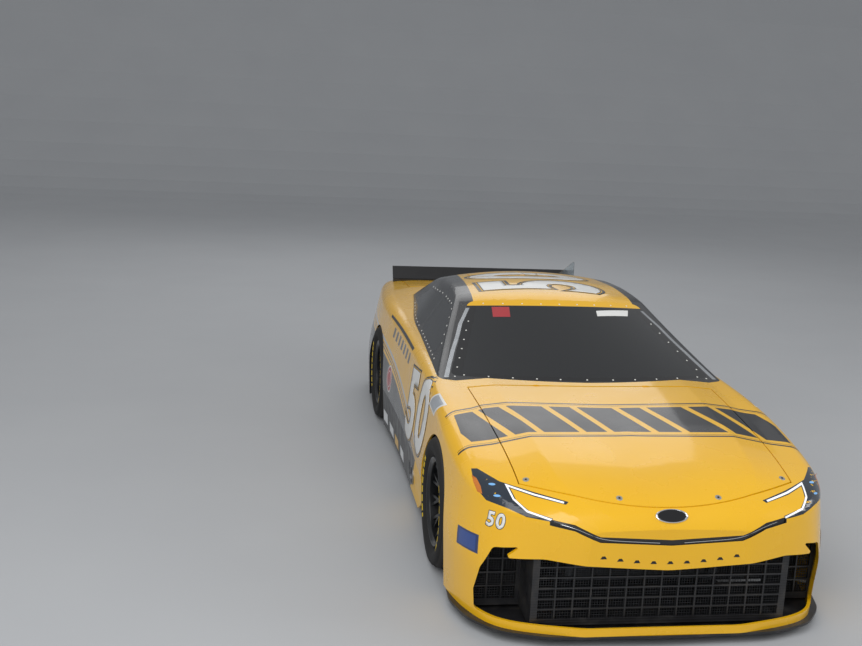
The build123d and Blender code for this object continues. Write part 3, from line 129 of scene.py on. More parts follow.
def printed(tree, ground, colour, *bands):
    """A colour printed over a ground, inside all the bands."""
    return add(tree, "MixRGB", inside(tree, *bands), ground, linear(colour))


def finish(name, dress=None, **sockets):
    """A material: plain values on the shader's sockets, and what dress(tree) links to them."""
    made = bpy.data.materials.new(name)
    made.use_nodes = True
    tree = made.node_tree
    shader = tree.nodes["Principled BSDF"]
    for key, value in sockets.items():
        shader.inputs[key.replace("_", " ")].default_value = value
    for key, socket in (dress(tree) if dress else {}).items():
        tree.links.new(socket, shader.inputs[key])
    return made


def speckle(tree, colours, size, detail=4.0):
    """Colour that drifts between two tones in patches of one size, in metres."""
    noise = add(tree, "TexNoise", add(tree, "TexCoord", out=3), None, 1.0 / size, detail)
    return add(tree, "MixRGB", noise, linear(colours[0]), linear(colours[1]))


def relief(tree, size, height, strength=0.3, detail=3.0):
    """Fine unevenness of a surface, as a normal."""
    noise = add(tree, "TexNoise", add(tree, "TexCoord", out=3), None, 1.0 / size, detail)
    return add(tree, "Bump", strength, height, None, noise)


def patchy(tree, low, high, size):
    """Roughness that drifts between two values in patches of one size."""
    noise = add(tree, "TexNoise", add(tree, "TexCoord", out=3), None, 1.0 / size, 5.0)
    return add(tree, "MapRange", noise, 0.3, 0.7, low, high)


HOOD_REAR_LINE, HOOD_FRONT_LINE = 1.312, 1.742      # how far ahead of the origin each line starts
REAR_BEND_FROM, REAR_SWEEP, FRONT_SWEEP = 0.71, 0.46, 0.09
LINE_HALF, FINE_HALF = 0.0075, 0.0025
TOP_FROM_Z, LINE_END, BLOCK_END = 0.755, 0.925, 0.885
BLOCK_STEP, BLOCK_SLANT, BLOCK_ROOM = 0.4, 0.34, 0.05
BAR_Z, BAR_RISE, BAR_HALF = 0.868, 0.012, 0.009
TICK_STEP, TICK_SLANT = 0.12, 0.6
SWEEP_Z, SWEEP_RISE, SWEEP_CURVE = 0.463, 0.165, 0.045
CORNER_AT, CORNER_SLANT = 0.322, 1.07               # the slanted edge behind each front wheel
FILM_GRAIN = 0.35             # size of the film's slow drift in tone


def wrap_print(tree):
    """The printed film: hood lines and blocks, the black of the lip's groove, side lines and sweep."""
    x, y, z, aside = place_of(tree)
    ground = speckle(tree, YELLOW_TONES, FILM_GRAIN)

    # Two black lines cross the hood and curve forwards on the fenders, each with a fine line beside it
    bend = add(tree, "Math", aside, REAR_BEND_FROM, operation="SUBTRACT")
    bend = add(tree, "Math", bend, 0.0, operation="MAXIMUM")
    from_rear = straight(tree, HOOD_REAR_LINE, (y, 1.0), (bend, REAR_SWEEP))
    from_front = straight(tree, HOOD_FRONT_LINE, (y, 1.0), (aside, FRONT_SWEEP))
    up = add(tree, "SeparateXYZ", add(tree, "TexCoord", out=1), out=2)
    outer = ((z, TOP_FROM_Z, 2.0), (up, UNDERSIDE, 2.0))
    for distance, fine in ((from_rear, -0.022), (from_front, 0.02)):
        for colour, at, half in ((WRAP_BLACK, 0.0, LINE_HALF), (WRAP_BROWN, fine, FINE_HALF)):
            line = (distance, at - half, at + half)
            ground = printed(tree, ground, colour, line, (aside, -1.0, LINE_END), *outer)

    # Plain slanted blocks, a long one and a short one in turn, fill the field between the lines
    field = ((from_rear, -FAR, -BLOCK_ROOM), (from_front, BLOCK_ROOM, FAR), (aside, -1.0, BLOCK_END), *outer)
    slant = straight(tree, 5.05, (x, 1.0), (y, BLOCK_SLANT))
    share = add(tree, "Math", add(tree, "Math", slant, BLOCK_STEP, operation="DIVIDE"), operation="FRACT")
    for start, end in ((0.0, 0.5), (0.6, 0.9)):
        ground = printed(tree, ground, WRAP_BLACK, (share, start, end), *field)

    # Along the side: a black bar under the window, slanted ticks, and the sweep that rises to the tail
    side = ((aside, 0.84, 2.0), (y, -1.0, 3.0))
    from_bar = straight(tree, -BAR_Z, (z, 1.0), (y, -BAR_RISE))
    ground = printed(tree, ground, WRAP_BLACK, (from_bar, -BAR_HALF, BAR_HALF), (y, -0.03, 0.98), *side)
    lean = add(tree, "Math", straight(tree, 3.0, (y, 1.0), (z, TICK_SLANT)), TICK_STEP, operation="DIVIDE")
    tick = add(tree, "Math", lean, operation="FRACT")
    ticks = ((from_bar, -0.115, -0.035), (y, 0.0, 0.8), (tick, 0.0, 0.5))
    ground = printed(tree, ground, WRAP_BLACK, *ticks, *side)
    square = add(tree, "Math", y, y, operation="MULTIPLY")
    over_sweep = straight(tree, -SWEEP_Z, (z, 1.0), (y, -SWEEP_RISE), (square, SWEEP_CURVE))
    behind = (straight(tree, CORNER_AT, (y, 1.0), (z, CORNER_SLANT)), 0.0, FAR)
    for colour, low, high in ((WRAP_SILVER, 0.074, 0.096), (WRAP_BROWN, 0.049, 0.061),
                              (WRAP_BLACK, 0.025, 0.035), (WRAP_BLACK, -FAR, 0.0)):
        ground = printed(tree, ground, colour, (over_sweep, low, high), behind, *side)

    # The groove over the lip and the foot of the tail are film-black
    low = straight(tree, 0.530, (aside, 0.0543))
    high = add(tree, "Math", straight(tree, 0.40025, (aside, 0.425)), straight(tree, 0.5231, (aside, 0.1636)),
               operation="MINIMUM")
    groove = add(tree, "Math", low, high, operation="MAXIMUM")
    off_groove = add(tree, "Math", z, groove, operation="SUBTRACT")
    on_groove = ((off_groove, -0.014, 0.014), (y, -3.0, -2.37), (aside, -1.0, 0.585))
    ground = printed(tree, ground, GROOVE_BLACK, *on_groove)
    return printed(tree, ground, TAIL_BLACK, (z, 0.0, 0.40), (y, 2.12, 3.0))


def laminate(tree):
    """Gloss film over the print: a clear coat with faint waviness and a little road dust."""
    return {"Base Color": wrap_print(tree), "Roughness": patchy(tree, 0.22, 0.36, 0.25),
            "Normal": relief(tree, 0.05, 0.0006, 0.12)}


body_wrap = finish("printed_vinyl_wrap", laminate, Coat_Weight=0.7, Coat_Roughness=0.06, IOR=1.5)


def wear(names, material):
    """Gives CAD nodes their material."""
    for name in names:
        node[name].data.materials.clear()
        node[name].data.materials.append(material)


wear(PANELS, body_wrap)


# Roof
# The roof, its pillars and the window frames are one moulded shell. The film covers its top between
# the window lines in yellow, and the pillars and frames are left in gloss black.
ROOF_HALF, ROOF_TAPER, ROOF_FILM_END, ROOF_FILM_LOW = 0.534, 0.0525, 0.965, 1.14


def roof_print(tree):
    """Yellow over the top, black down the pillars and round the rear window."""
    x, y, z, aside = place_of(tree)
    from_edge = straight(tree, -ROOF_HALF, (aside, 1.0), (y, ROOF_TAPER))
    top_film = inside(tree, (from_edge, -FAR, 0.0), (y, -3.0, ROOF_FILM_END), (z, ROOF_FILM_LOW, 2.0))
    colour = add(tree, "MixRGB", top_film, speckle(tree, ("#131315", "#1A1A1D"), 0.3),
                 speckle(tree, YELLOW_TONES, FILM_GRAIN))
    return {"Base Color": colour, "Roughness": patchy(tree, 0.2, 0.34, 0.25),
            "Normal": relief(tree, 0.05, 0.0006, 0.12)}


wear(["roof"], finish("roof_wrap_and_black_frames", roof_print, Coat_Weight=0.7, Coat_Roughness=0.06))


# Numbers
# Plain racing numerals cut from vinyl: a large pair across the roof, read from the left, one on each
# door, and a small one on the nose's right corner. The large ones are white with black and yellow lines
# round them, and the small one has a black edge alone.
def only(*objects):
    """Selects these objects and nothing else; the last one is active."""
    bpy.ops.object.select_all(action="DESELECT")
    for thing in objects:
        thing.select_set(True)
    bpy.context.view_layer.objects.active = objects[-1]


def joined(objects):
    """Makes one object of several and gives it."""
    only(*objects)
    bpy.ops.object.join()
    return bpy.context.object


def settled(piece):
    """Applies a piece's own place, turn and scale, so that its mesh stands in the car's frame."""
    only(piece)
    bpy.ops.object.transform_apply(location=True, rotation=True, scale=True)
    return piece


def shaped(piece, kind, **settings):
    """Gives a piece a modifier with these settings and applies it."""
    only(piece)
    change = piece.modifiers.new("change", kind)
    for name, value in settings.items():
        setattr(change, name, value)
    bpy.ops.object.modifier_apply(modifier="change")


def mirrored(points, sign):
    """Points as they are with the sign 1, and their mirror image across the car's middle with -1."""
    return [(sign * x, y, z) for x, y, z in points]


def surface(name, tones, grain, rough, rough_grain, bump=None, **sockets):
    """A material in two close tones, with patchy roughness and, where it is given, a fine relief."""
    def dress(tree):
        links = {"Base Color": speckle(tree, tones, grain), "Roughness": patchy(tree, *rough, rough_grain)}
        if bump:
            links["Normal"] = relief(tree, *bump)
        return links
    return finish(name, dress, **sockets)


def vinyl(name, tones, roughness=0.28, **sockets):
    """Printed vinyl in one colour with the film's slight drift in tone, under a thin gloss coat."""
    return surface(name, tones, 0.08, (roughness, roughness + 0.12), 0.1, Coat_Weight=0.5,
                   Coat_Roughness=0.08, **sockets)


def free_copy(source):
    """Copy of an object with a mesh of its own and no parent."""
    copy = source.copy()
    copy.data = source.data.copy()
    copy.parent = None
    bpy.context.scene.collection.objects.link(copy)
    return copy


white_vinyl = vinyl("white_vinyl", ("#F1F1EE", "#E6E6E2"))
black_vinyl = vinyl("black_vinyl", ("#121214", "#1B1B1E"))
yellow_vinyl = vinyl("yellow_vinyl", YELLOW_TONES)

# Films and screws are laid on one merged copy of the outer skin, which is removed at the end
SKIN_NODES = (*PANELS, "roof", "windshield", "side_windows", "side_skirts")
skin = joined([free_copy(node[name]) for name in SKIN_NODES])
skin.name = "laying_form"
bpy.ops.object.mode_set(mode="EDIT")
bpy.ops.mesh.select_all(action="SELECT")
bpy.ops.mesh.remove_doubles(threshold=0.00001)
bpy.ops.object.mode_set(mode="OBJECT")
FALL_FROM = 0.25              # films start this far outside the skin and fall on to it
SEAM_DROP = 0.02              # a point that fell this much deeper than its neighbours fell into a seam
FILM_THICK = 0.0003
FILM_LIFT, LAYER_STEP = 0.0006, 0.0004


def cut_across(axis, value):
    """Cuts the mesh in edit mode along a plane that stands across one axis."""
    at, way = [0, 0, 0], [0, 0, 0]
    at[axis], way[axis] = value, 1
    bpy.ops.mesh.select_all(action="SELECT")
    bpy.ops.mesh.bisect(plane_co=at, plane_no=way)


def grid_cut(piece, step):
    """Cuts a flat piece into strips both ways, so that it can follow a curved panel."""
    only(piece)
    corners = [Vector(c) for c in piece.bound_box]
    bpy.ops.object.mode_set(mode="EDIT")
    for axis in (0, 1):
        low, high = min(c[axis] for c in corners), max(c[axis] for c in corners)
        for i in range(1, math.ceil((high - low) / step)):
            cut_across(axis, low + i * step)
    bpy.ops.mesh.select_all(action="SELECT")
    bpy.ops.mesh.quads_convert_to_tris()
    bpy.ops.object.mode_set(mode="OBJECT")


def bridge_seams(mesh):
    """Points that fell through a seam between two panels come back up to their neighbours."""
    near = [[] for _ in mesh.vertices]
    for edge in mesh.edges:
        a, b = edge.vertices
        near[a].append(b)
        near[b].append(a)
    for _ in range(3):
        heights = [v.co.z for v in mesh.vertices]
        for vertex, others in zip(mesh.vertices, near):
            usual = sorted(heights[i] for i in others)[-1 - len(others) // 3]
            if abs(vertex.co.z - usual) > SEAM_DROP:
                vertex.co.z = usual


def lay(piece, middle, across, facing, lift):
    """Lays a flat piece on the panels: its X goes across, and it falls along the facing direction."""
    out = Vector(facing).normalized()
    across = (Vector(across) - out * Vector(across).dot(out)).normalized()
    piece.matrix_world = Matrix.Translation(Vector(middle) + out * FALL_FROM) @ Matrix(
        (across, out.cross(across), out)).transposed().to_4x4()
    shaped(piece, "SHRINKWRAP", wrap_method="PROJECT", use_project_z=True, use_positive_direction=False,
           use_negative_direction=True, target=skin, offset=lift)
    bridge_seams(piece.data)
    settled(piece)
    shaped(piece, "SOLIDIFY", thickness=FILM_THICK, offset=-1.0)


def keep(piece, name, material, body="chassis"):
    """Names a finished piece and gives it its material and body."""
    piece.name = name
    piece.data.materials.clear()
    piece.data.materials.append(material)
    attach(piece, body)
    return piece


NUMBER_LEAN, NUMBER_SPACE = 0.12, 1.18
LARGE_GRID, SMALL_GRID = 0.03, 0.02


def numeral(text, bold, size):
    """Flat mesh of digits with a stroke made heavier, scaled from the font's height of one."""
    bpy.ops.object.text_add()
    piece = bpy.context.object
    letters = piece.data
    letters.body = text
    letters.align_x, letters.align_y = "CENTER", "CENTER"
    letters.offset = bold
    letters.shear, letters.space_character = NUMBER_LEAN, NUMBER_SPACE
    letters.resolution_u = 8
    only(piece)
    bpy.ops.object.convert(target="MESH")
    piece = bpy.context.object
    piece.scale = (size[0], size[1], 1)
    return settled(piece)


# The roof number runs over both roof flaps, so the part over each flap is cut out and rides on it, with
# room in front for the flap's edge as it swings up. Both spans are measured from the number's middle,
# along the reading and across it.
FLAP_HOLE, FLAP_FILM = ((0.219, 0.447), (0.043, 0.437)), ((0.2345, 0.4445), (0.0445, 0.4355))


def taken_out(piece, sign, along, across):
    """Cuts a rectangle on one side of the middle out of a flat piece and gives it."""
    spans = [along, sorted(sign * value for value in across)]
    only(piece)
    bpy.ops.object.mode_set(mode="EDIT")
    bpy.ops.mesh.select_mode(type="FACE")
    for axis, span in enumerate(spans):
        for value in span:
            cut_across(axis, value)
    bpy.ops.mesh.select_all(action="DESELECT")
    bpy.ops.object.mode_set(mode="OBJECT")
    for face in piece.data.polygons:
        face.select = all(low < face.center[axis] < high for axis, (low, high) in enumerate(spans))
    bpy.ops.object.mode_set(mode="EDIT")
    bpy.ops.mesh.separate(type="SELECTED")
    bpy.ops.mesh.select_mode(type="VERT")
    bpy.ops.object.mode_set(mode="OBJECT")
    return next(each for each in bpy.context.selected_objects if each is not piece)


NUMBER = "50"
FACE_BOLD = 0.032             # the font's strokes are made this much heavier, in font units
NUMBERS = (
    # Name, middle, direction of reading, facing, scale of width and height, outline width in font units
    ("roof_number", (0.0, 0.34, 1.28), (0, 1, 0), (0, 0, 1), (0.62, 1.06), 0.034),
    ("door_right_number", (-0.96, -0.53, 0.585), (0, -1, 0.12), (-1, 0, 0.06), (0.76, 0.60), 0.034),
    ("door_left_number", (0.96, -0.53, 0.585), (0, 1, 0.12), (1, 0, 0.06), (0.76, 0.60), 0.034),
    ("nose_number", (-0.815, -2.266, 0.578), (0.074, -0.083, 0.006), (-0.6, -0.75, 0.25), (0.098, 0.098),
     0.03),
)
for name, middle, reading, facing, size, outline in NUMBERS:
    layers = [("edge", black_vinyl, outline), ("line", yellow_vinyl, outline * 0.42),
              ("rim", black_vinyl, outline * 0.22), ("face", white_vinyl, 0.0)]
    if name == "nose_number":
        layers = [layers[0], layers[3]]
    for level_up, (part, material, grow) in enumerate(layers):
        digits = numeral(NUMBER, FACE_BOLD + grow, size)
        grid_cut(digits, LARGE_GRID if size[0] > 0.2 else SMALL_GRID)
        shares = [(digits, f"{name}_{part}", "body_paint", "chassis")]
        if name == "roof_number":
            for side, sign in (("left", -1), ("right", 1)):
                plug = taken_out(digits, sign, *FLAP_HOLE)
                over = taken_out(plug, sign, *FLAP_FILM)
                bpy.data.objects.remove(plug)
                shares.append((over, f"roof_flap_{side}_number_{part}", "roof_paint", f"flap_{side}"))
        for share, share_name, slot, body in shares:
            lay(share, middle, reading, facing, FILM_LIFT + LAYER_STEP * level_up)
            keep(share, share_name, material, body)


# Headlamps
# Display bodies carry printed headlamps: a dark smoked film in the lamp's outline, with a white light
# strip bent like a hockey stick, two bluish lamps and an amber marker, all flat on the nose. The white
# strip and the two bluish lamps are given a faint emission, a painted glow, though they are print and no
# lamps.
LAMP_FACING = (-0.2268, -0.912, 0.342)
LAMP_OUTLINE = (
    (-0.889, -1.997, 0.743), (-0.864, -2.018, 0.751), (-0.780, -2.152, 0.732), (-0.631, -2.259, 0.715),
    (-0.483, -2.332, 0.693), (-0.498, -2.343, 0.684), (-0.636, -2.282, 0.702), (-0.738, -2.205, 0.717),
    (-0.724, -2.287, 0.687), (-0.674, -2.351, 0.657), (-0.571, -2.394, 0.636), (-0.563, -2.397, 0.618),
    (-0.687, -2.360, 0.631), (-0.764, -2.307, 0.653), (-0.850, -2.205, 0.657), (-0.877, -2.142, 0.680),
    (-0.891, -2.068, 0.713),
)
LIGHT_STRIP = ((-0.505, -2.333, 0.690), (-0.636, -2.271, 0.7085), (-0.752, -2.185, 0.7245),
               (-0.736, -2.280, 0.690), (-0.683, -2.349, 0.6545), (-0.576, -2.394, 0.6285))
STRIP_WIDTH = 0.0085
OVER_LIFT = 0.0014            # of what is printed over the smoked film
MARKER = ((-0.893, -2.041, 0.726), (-0.876, -2.080, 0.722), (-0.866, -2.135, 0.702), (-0.863, -2.168, 0.675),
          (-0.880, -2.132, 0.673), (-0.891, -2.075, 0.703))
LAMPS = ((-0.818, -2.163, 0.722), (-0.806, -2.234, 0.690))
LAMP_WIDE, LAMP_HIGH = 0.017, 0.0055


def flat_frame(points, facing):
    """Middle of some points, and two directions of the flat that faces a direction."""
    out = Vector(facing).normalized()
    middle = sum((Vector(p) for p in points), Vector()) / len(points)
    across = Vector((0, 0, 1)).cross(out)
    across = across.normalized() if across.length > 0.1 else Vector((1, 0, 0))
    return middle, across, out.cross(across)


def curve_piece(kind, points, **settings):
    """Mesh of a curve along points: a closed outline of straight runs, or an open smooth line."""
    line = bpy.data.curves.new("line", "CURVE")
    for name, value in settings.items():
        setattr(line, name, value)
    run = line.splines.new(kind)
    run.points.add(len(points) - 1)
    for knot, point in zip(run.points, points):
        knot.co = (*point, 1)
    if kind == "POLY":
        run.use_cyclic_u = True
    else:
        run.order_u = 3
        run.use_endpoint_u = True
    piece = bpy.data.objects.new("line", line)
    bpy.context.scene.collection.objects.link(piece)
    only(piece)
    bpy.ops.object.convert(target="MESH")
    return bpy.context.object


def cut_film(points, facing, step=0.015):
    """Flat film cut to an outline of points in space, seen along the facing direction."""
    middle, across, up = flat_frame(points, facing)
    offsets = [Vector(point) - middle for point in points]
    film = curve_piece("POLY", [(o.dot(across), o.dot(up), 0) for o in offsets], dimensions="2D",
                       fill_mode="BOTH")
    grid_cut(film, step)
    return film, middle, across


def ribbon(points, width, facing):
    """Outline of a band along points, as wide on both sides of them."""
    middle, across, up = flat_frame(points, facing)
    flat = [Vector(((Vector(p) - middle).dot(across), (Vector(p) - middle).dot(up))) for p in points]
    sides = []
    for i, at in enumerate(flat):
        before = (at - flat[i - 1]).normalized() if i else None
        after = (flat[i + 1] - at).normalized() if i < len(flat) - 1 else None
        way = ((before or after) + (after or before)).normalized()
        normal = Vector((-way.y, way.x))
        spread = width / 2 / max(0.35, abs(normal.dot(Vector((-(after or before).y, (after or before).x)))))
        sides.append((at + normal * spread, at - normal * spread))
    ring = [s[0] for s in sides] + [s[1] for s in reversed(sides)]
    return [tuple(middle + across * p.x + up * p.y) for p in ring]


def disc_outline(middle, facing, wide, high, count=24):
    """Outline of an ellipse that faces a direction."""
    _, across, up = flat_frame([middle], facing)
    turns = [2 * math.pi * i / count for i in range(count)]
    return [tuple(Vector(middle) + across * math.cos(t) * wide + up * math.sin(t) * high) for t in turns]


def sticker(name, points, facing, material, lift=0.0008, body="chassis", step=0.015):
    """Film of one colour laid on the panels."""
    film, middle, across = cut_film(points, facing, step)
    lay(film, middle, across, facing, lift)
    return keep(film, name, material, body)


lamp_smoke = vinyl("smoked_lamp_film", ("#1C242E", "#2B3744"), 0.12)
# The white strip and the bluish lamps are flat print, and their faint emission is a painted glow
white_strip_painted_glow = vinyl("white_strip_print_painted_glow", ("#FFFFFF", "#EEF2F6"), 0.2, Emission_Color=linear("#F4F8FF"),
                    Emission_Strength=0.25)
blue_lamp_painted_glow = vinyl("blue_lamp_print_painted_glow", ("#8FC6F2", "#5E9BD6"), 0.2, Emission_Color=linear("#7FB9F0"),
                  Emission_Strength=0.2)
amber = vinyl("amber_marker_print", ("#D9822B", "#C26A1C"), 0.2)
for hand, sign in (("right", 1), ("left", -1)):
    facing, = mirrored([LAMP_FACING], sign)
    sticker(f"headlamp_{hand}_film", mirrored(LAMP_OUTLINE, sign), facing, lamp_smoke)
    strip = ribbon(mirrored(LIGHT_STRIP, sign), STRIP_WIDTH, facing)
    sticker(f"headlamp_{hand}_strip", strip, facing, white_strip_painted_glow, OVER_LIFT)
    sticker(f"headlamp_{hand}_marker", mirrored(MARKER, sign), facing, amber, OVER_LIFT)
    for number, spot in enumerate(mirrored(LAMPS, sign)):
        sticker(f"headlamp_{hand}_lamp_{number}", disc_outline(spot, facing, LAMP_WIDE, LAMP_HIGH), facing,
                blue_lamp_painted_glow, OVER_LIFT, step=0.01)


# Nose trim
# A blank oval badge with a bright rim is fixed to the slope over the lip. Thin bright lines run along
# the black groove, and a row of small dark slots is printed on the lip's middle.
BADGE_AT = (0.0, -2.4105, 0.6475)
BADGE_TILT = 47.0             # the nose leans back here
BADGE_WIDE, BADGE_HIGH, BADGE_THICK, BADGE_SOFT = 0.078, 0.036, 0.007, 0.002
RIM_LINE, RIM_DEEP, RIM_OUT = 0.0055, 0.062, 0.0015
LINE_R, LINE_SINK = 0.0022, 0.0005
GROOVE_LINE = ((0.06, -2.4478, 0.530), (0.2, -2.4478, 0.538), (0.33, -2.4465, 0.5475), (0.40, -2.4395, 0.571),
               (0.47, -2.4255, 0.599), (0.55, -2.3985, 0.613))
chrome = finish("polished_chrome", lambda tree: {"Roughness": patchy(tree, 0.06, 0.14, 0.02)},
                Base_Color=linear("#E8E9EA"), Metallic=1.0)
piano_black = vinyl("gloss_black_badge", ("#08080A", "#101014"), 0.1)


def spun_up(piece, tilt, at):
    """Turns a piece that lies flat to its tilt and puts it in place."""
    piece.rotation_euler = (math.radians(tilt), 0, 0)
    piece.location = at
    settled(piece)


bpy.ops.mesh.primitive_cylinder_add(vertices=64, radius=1, depth=1)
badge = bpy.context.object
badge.scale = (BADGE_WIDE - RIM_LINE, BADGE_HIGH - RIM_LINE, BADGE_THICK)
settled(badge)
shaped(badge, "BEVEL", width=BADGE_SOFT, segments=2)
spun_up(badge, BADGE_TILT, BADGE_AT)
keep(badge, "badge_blank", piano_black)
bpy.ops.mesh.primitive_torus_add(major_segments=72, minor_segments=12, major_radius=1, minor_radius=0.08)
rim = bpy.context.object
rim.scale = (BADGE_WIDE - RIM_LINE / 2, BADGE_HIGH - RIM_LINE / 2, RIM_DEEP)
settled(rim)
spun_up(rim, BADGE_TILT, (BADGE_AT[0], BADGE_AT[1] - RIM_OUT, BADGE_AT[2] + RIM_OUT))
keep(rim, "badge_rim", chrome)

for hand, sign in (("left", 1), ("right", -1)):
    run = [(sign * x, y - LINE_SINK, z) for x, y, z in GROOVE_LINE]
    line = curve_piece("NURBS", run, dimensions="3D", bevel_depth=LINE_R, bevel_resolution=2,
                       use_fill_caps=True)
    keep(line, f"groove_line_{hand}", chrome)

# Each slot is wider at its foot, and the row rises to both sides as the lip does
SLOT_STEP, SLOT_Y, SLOT_LOW, SLOT_RISE, SLOT_REACH = 0.082, -2.45, 0.424, 0.03, 0.33
SLOT_FOOT, SLOT_HEAD, SLOT_HIGH = 0.016, 0.007, 0.014
for number in range(-4, 5):
    x = number * SLOT_STEP
    low = SLOT_LOW + SLOT_RISE * (abs(x) / SLOT_REACH) ** 2
    corners = ((x - SLOT_FOOT, low), (x + SLOT_FOOT, low), (x + SLOT_HEAD, low + SLOT_HIGH),
               (x - SLOT_HEAD, low + SLOT_HIGH))
    sticker(f"lip_slot_{number + 4}", [(across, SLOT_Y, z) for across, z in corners], (0, -1, 0), piano_black)


# Stickers
# Plain stickers of die-cut vinyl with a printed border: a grey panel behind each front arch, a blue one
# on each nose corner, a red and white disc on each quarter, and pale strips on the skirts.
SIDE = (-1.0, 0.0, 0.1)
PALE = (("#DADDE0", "#CFD3D7"), ("#F2F3F3", "#E9EBEC"))
GREY = (("#ECECE8", "#E2E2DE"), ("#A9ADB2", "#9DA2A8"))
BLUE = (("#22386E", "#1D315F"), ("#2C4C93", "#274586"))
GOLD = (("#C8A32A", "#BD9823"), YELLOW_TONES)
BORDER_LIFT, FIELD_LIFT = 0.0008, 0.0013
PLAIN_STICKERS = (
    # Name, outline on the right side, facing, tones of the border and the field, share of the border
    ("arch_panel", ((-0.944, -0.965, 0.774), (-0.903, -1.080, 0.868), (-0.893, -1.285, 0.857),
                    (-0.952, -1.200, 0.768)), (-0.85, 0.0, 0.5), GREY, 0.2),
    ("nose_panel", ((-0.944, -2.028, 0.465), (-0.875, -2.204, 0.480), (-0.878, -2.214, 0.388),
                    (-0.948, -2.034, 0.374)), (-0.9, -0.42, 0.0), BLUE, 0.2),
    ("skirt_panel_1", ((-0.97, 0.76, 0.19), (-0.97, 0.93, 0.185), (-0.97, 0.93, 0.105), (-0.97, 0.76, 0.11)),
     SIDE, PALE, 0.14),
    ("skirt_panel_2", ((-0.97, 0.49, 0.165), (-0.97, 0.67, 0.17), (-0.97, 0.67, 0.10), (-0.97, 0.49, 0.095)),
     SIDE, PALE, 0.14),
    ("skirt_panel_3", ((-0.97, 0.24, 0.16), (-0.97, 0.42, 0.16), (-0.97, 0.42, 0.09), (-0.97, 0.24, 0.09)),
     SIDE, GOLD, 0.14),
    ("skirt_panel_4", ((-0.97, -0.04, 0.17), (-0.97, 0.13, 0.17), (-0.97, 0.13, 0.10), (-0.97, -0.04, 0.10)),
     SIDE, PALE, 0.14),
)
DISC_WHITE, DISC_RED = ("#E9E9E6", "#DEDEDA"), ("#B3202A", "#A51B25")
DISC_PARTS = (("rim", 0.097, DISC_WHITE), ("field", 0.086, DISC_RED), ("ring", 0.06, DISC_WHITE),
              ("middle", 0.053, DISC_RED))
for hand, sign in (("right", 1), ("left", -1)):
    for name, points, facing, (outer, inner), border in PLAIN_STICKERS:
        facing, *points = mirrored((facing, *points), sign)
        points = [Vector(p) for p in points]
        middle = sum(points, Vector()) / len(points)
        field = [middle + (p - middle) * (1 - border) for p in points]
        slot = "dark_composite" if name.startswith("skirt") else "body_paint"
        for part, outline, tones, lift in (("border", points, outer, BORDER_LIFT),
                                           ("field", field, inner, FIELD_LIFT)):
            film = vinyl(f"{name}_{hand}_{part}_vinyl", tones)
            sticker(f"{name}_{hand}_{part}", outline, facing, film, lift)
    disc_middle, disc_facing = (-sign * 0.97, 0.70, 0.475), (-sign, 0.0, 0.0)
    for level_up, (part, radius, tones) in enumerate(DISC_PARTS):
        sticker(f"quarter_disc_{part}_{hand}", disc_outline(disc_middle, disc_facing, radius, radius, 40),
                disc_facing, vinyl(f"quarter_disc_{part}_{hand}_vinyl", tones),
                FILM_LIFT + LAYER_STEP * level_up)


# Window glass
# The windows are hard-coated polycarbonate with a dark tint, bedded on black edge paint. Display cars
# wear the roof's yellow film down over the windshield's top edge.
HEAD_HALF, FOOT_HALF, HEAD_Y, FOOT_Y = 0.570, 0.800, -0.150, -0.930     # the windshield's upright sides
HEAD_BOW, FOOT_BOW = 0.37, 0.19                     # how its top and foot curve back to both sides
BAND_AT = 0.212               # lower edge of the yellow band, ahead of the origin
FRIT = 0.032                  # width of the black edge paint
slope_across = (FOOT_HALF - HEAD_HALF) / (HEAD_Y - FOOT_Y)


def windshield_dress(tree):
    """Tint, black edge paint and the yellow band along the top."""
    x, y, z, aside = place_of(tree)
    square = add(tree, "Math", aside, aside, operation="MULTIPLY")
    from_foot = straight(tree, -FOOT_Y, (y, 1.0), (square, -FOOT_BOW))
    from_side = straight(tree, HEAD_HALF + slope_across * HEAD_Y, (y, -slope_across), (aside, -1.0))
    band = inside(tree, (straight(tree, BAND_AT, (y, 1.0), (square, -HEAD_BOW)), 0.0, FAR))
    clear = inside(tree, (from_foot, FRIT, FAR), (from_side, FRIT, FAR))
    see_through = add(tree, "Math", clear, band, operation="SUBTRACT")
    see_through = add(tree, "Math", see_through, 0.0, operation="MAXIMUM")
    dark = add(tree, "MixRGB", clear, linear("#08080A"), linear("#23272B"))
    return {"Base Color": add(tree, "MixRGB", band, dark, speckle(tree, YELLOW_TONES, FILM_GRAIN)),
            "Transmission Weight": add(tree, "Math", see_through, 0.72, operation="MULTIPLY"),
            "Roughness": patchy(tree, 0.015, 0.05, 0.3)}


wear(["windshield"], finish("tinted_polycarbonate_windshield", windshield_dress, IOR=1.58, Coat_Weight=0.4,
                            Coat_Roughness=0.02))
# On the side and rear panes the tint is even, with a faint film of dust
wear(["side_windows", "rear_window"], surface("tinted_polycarbonate_panes", ("#23272B", "#292D31"), 0.4,
                                              (0.02, 0.06), 0.3, IOR=1.58, Transmission_Weight=0.7,
                                              Coat_Weight=0.4, Coat_Roughness=0.02))

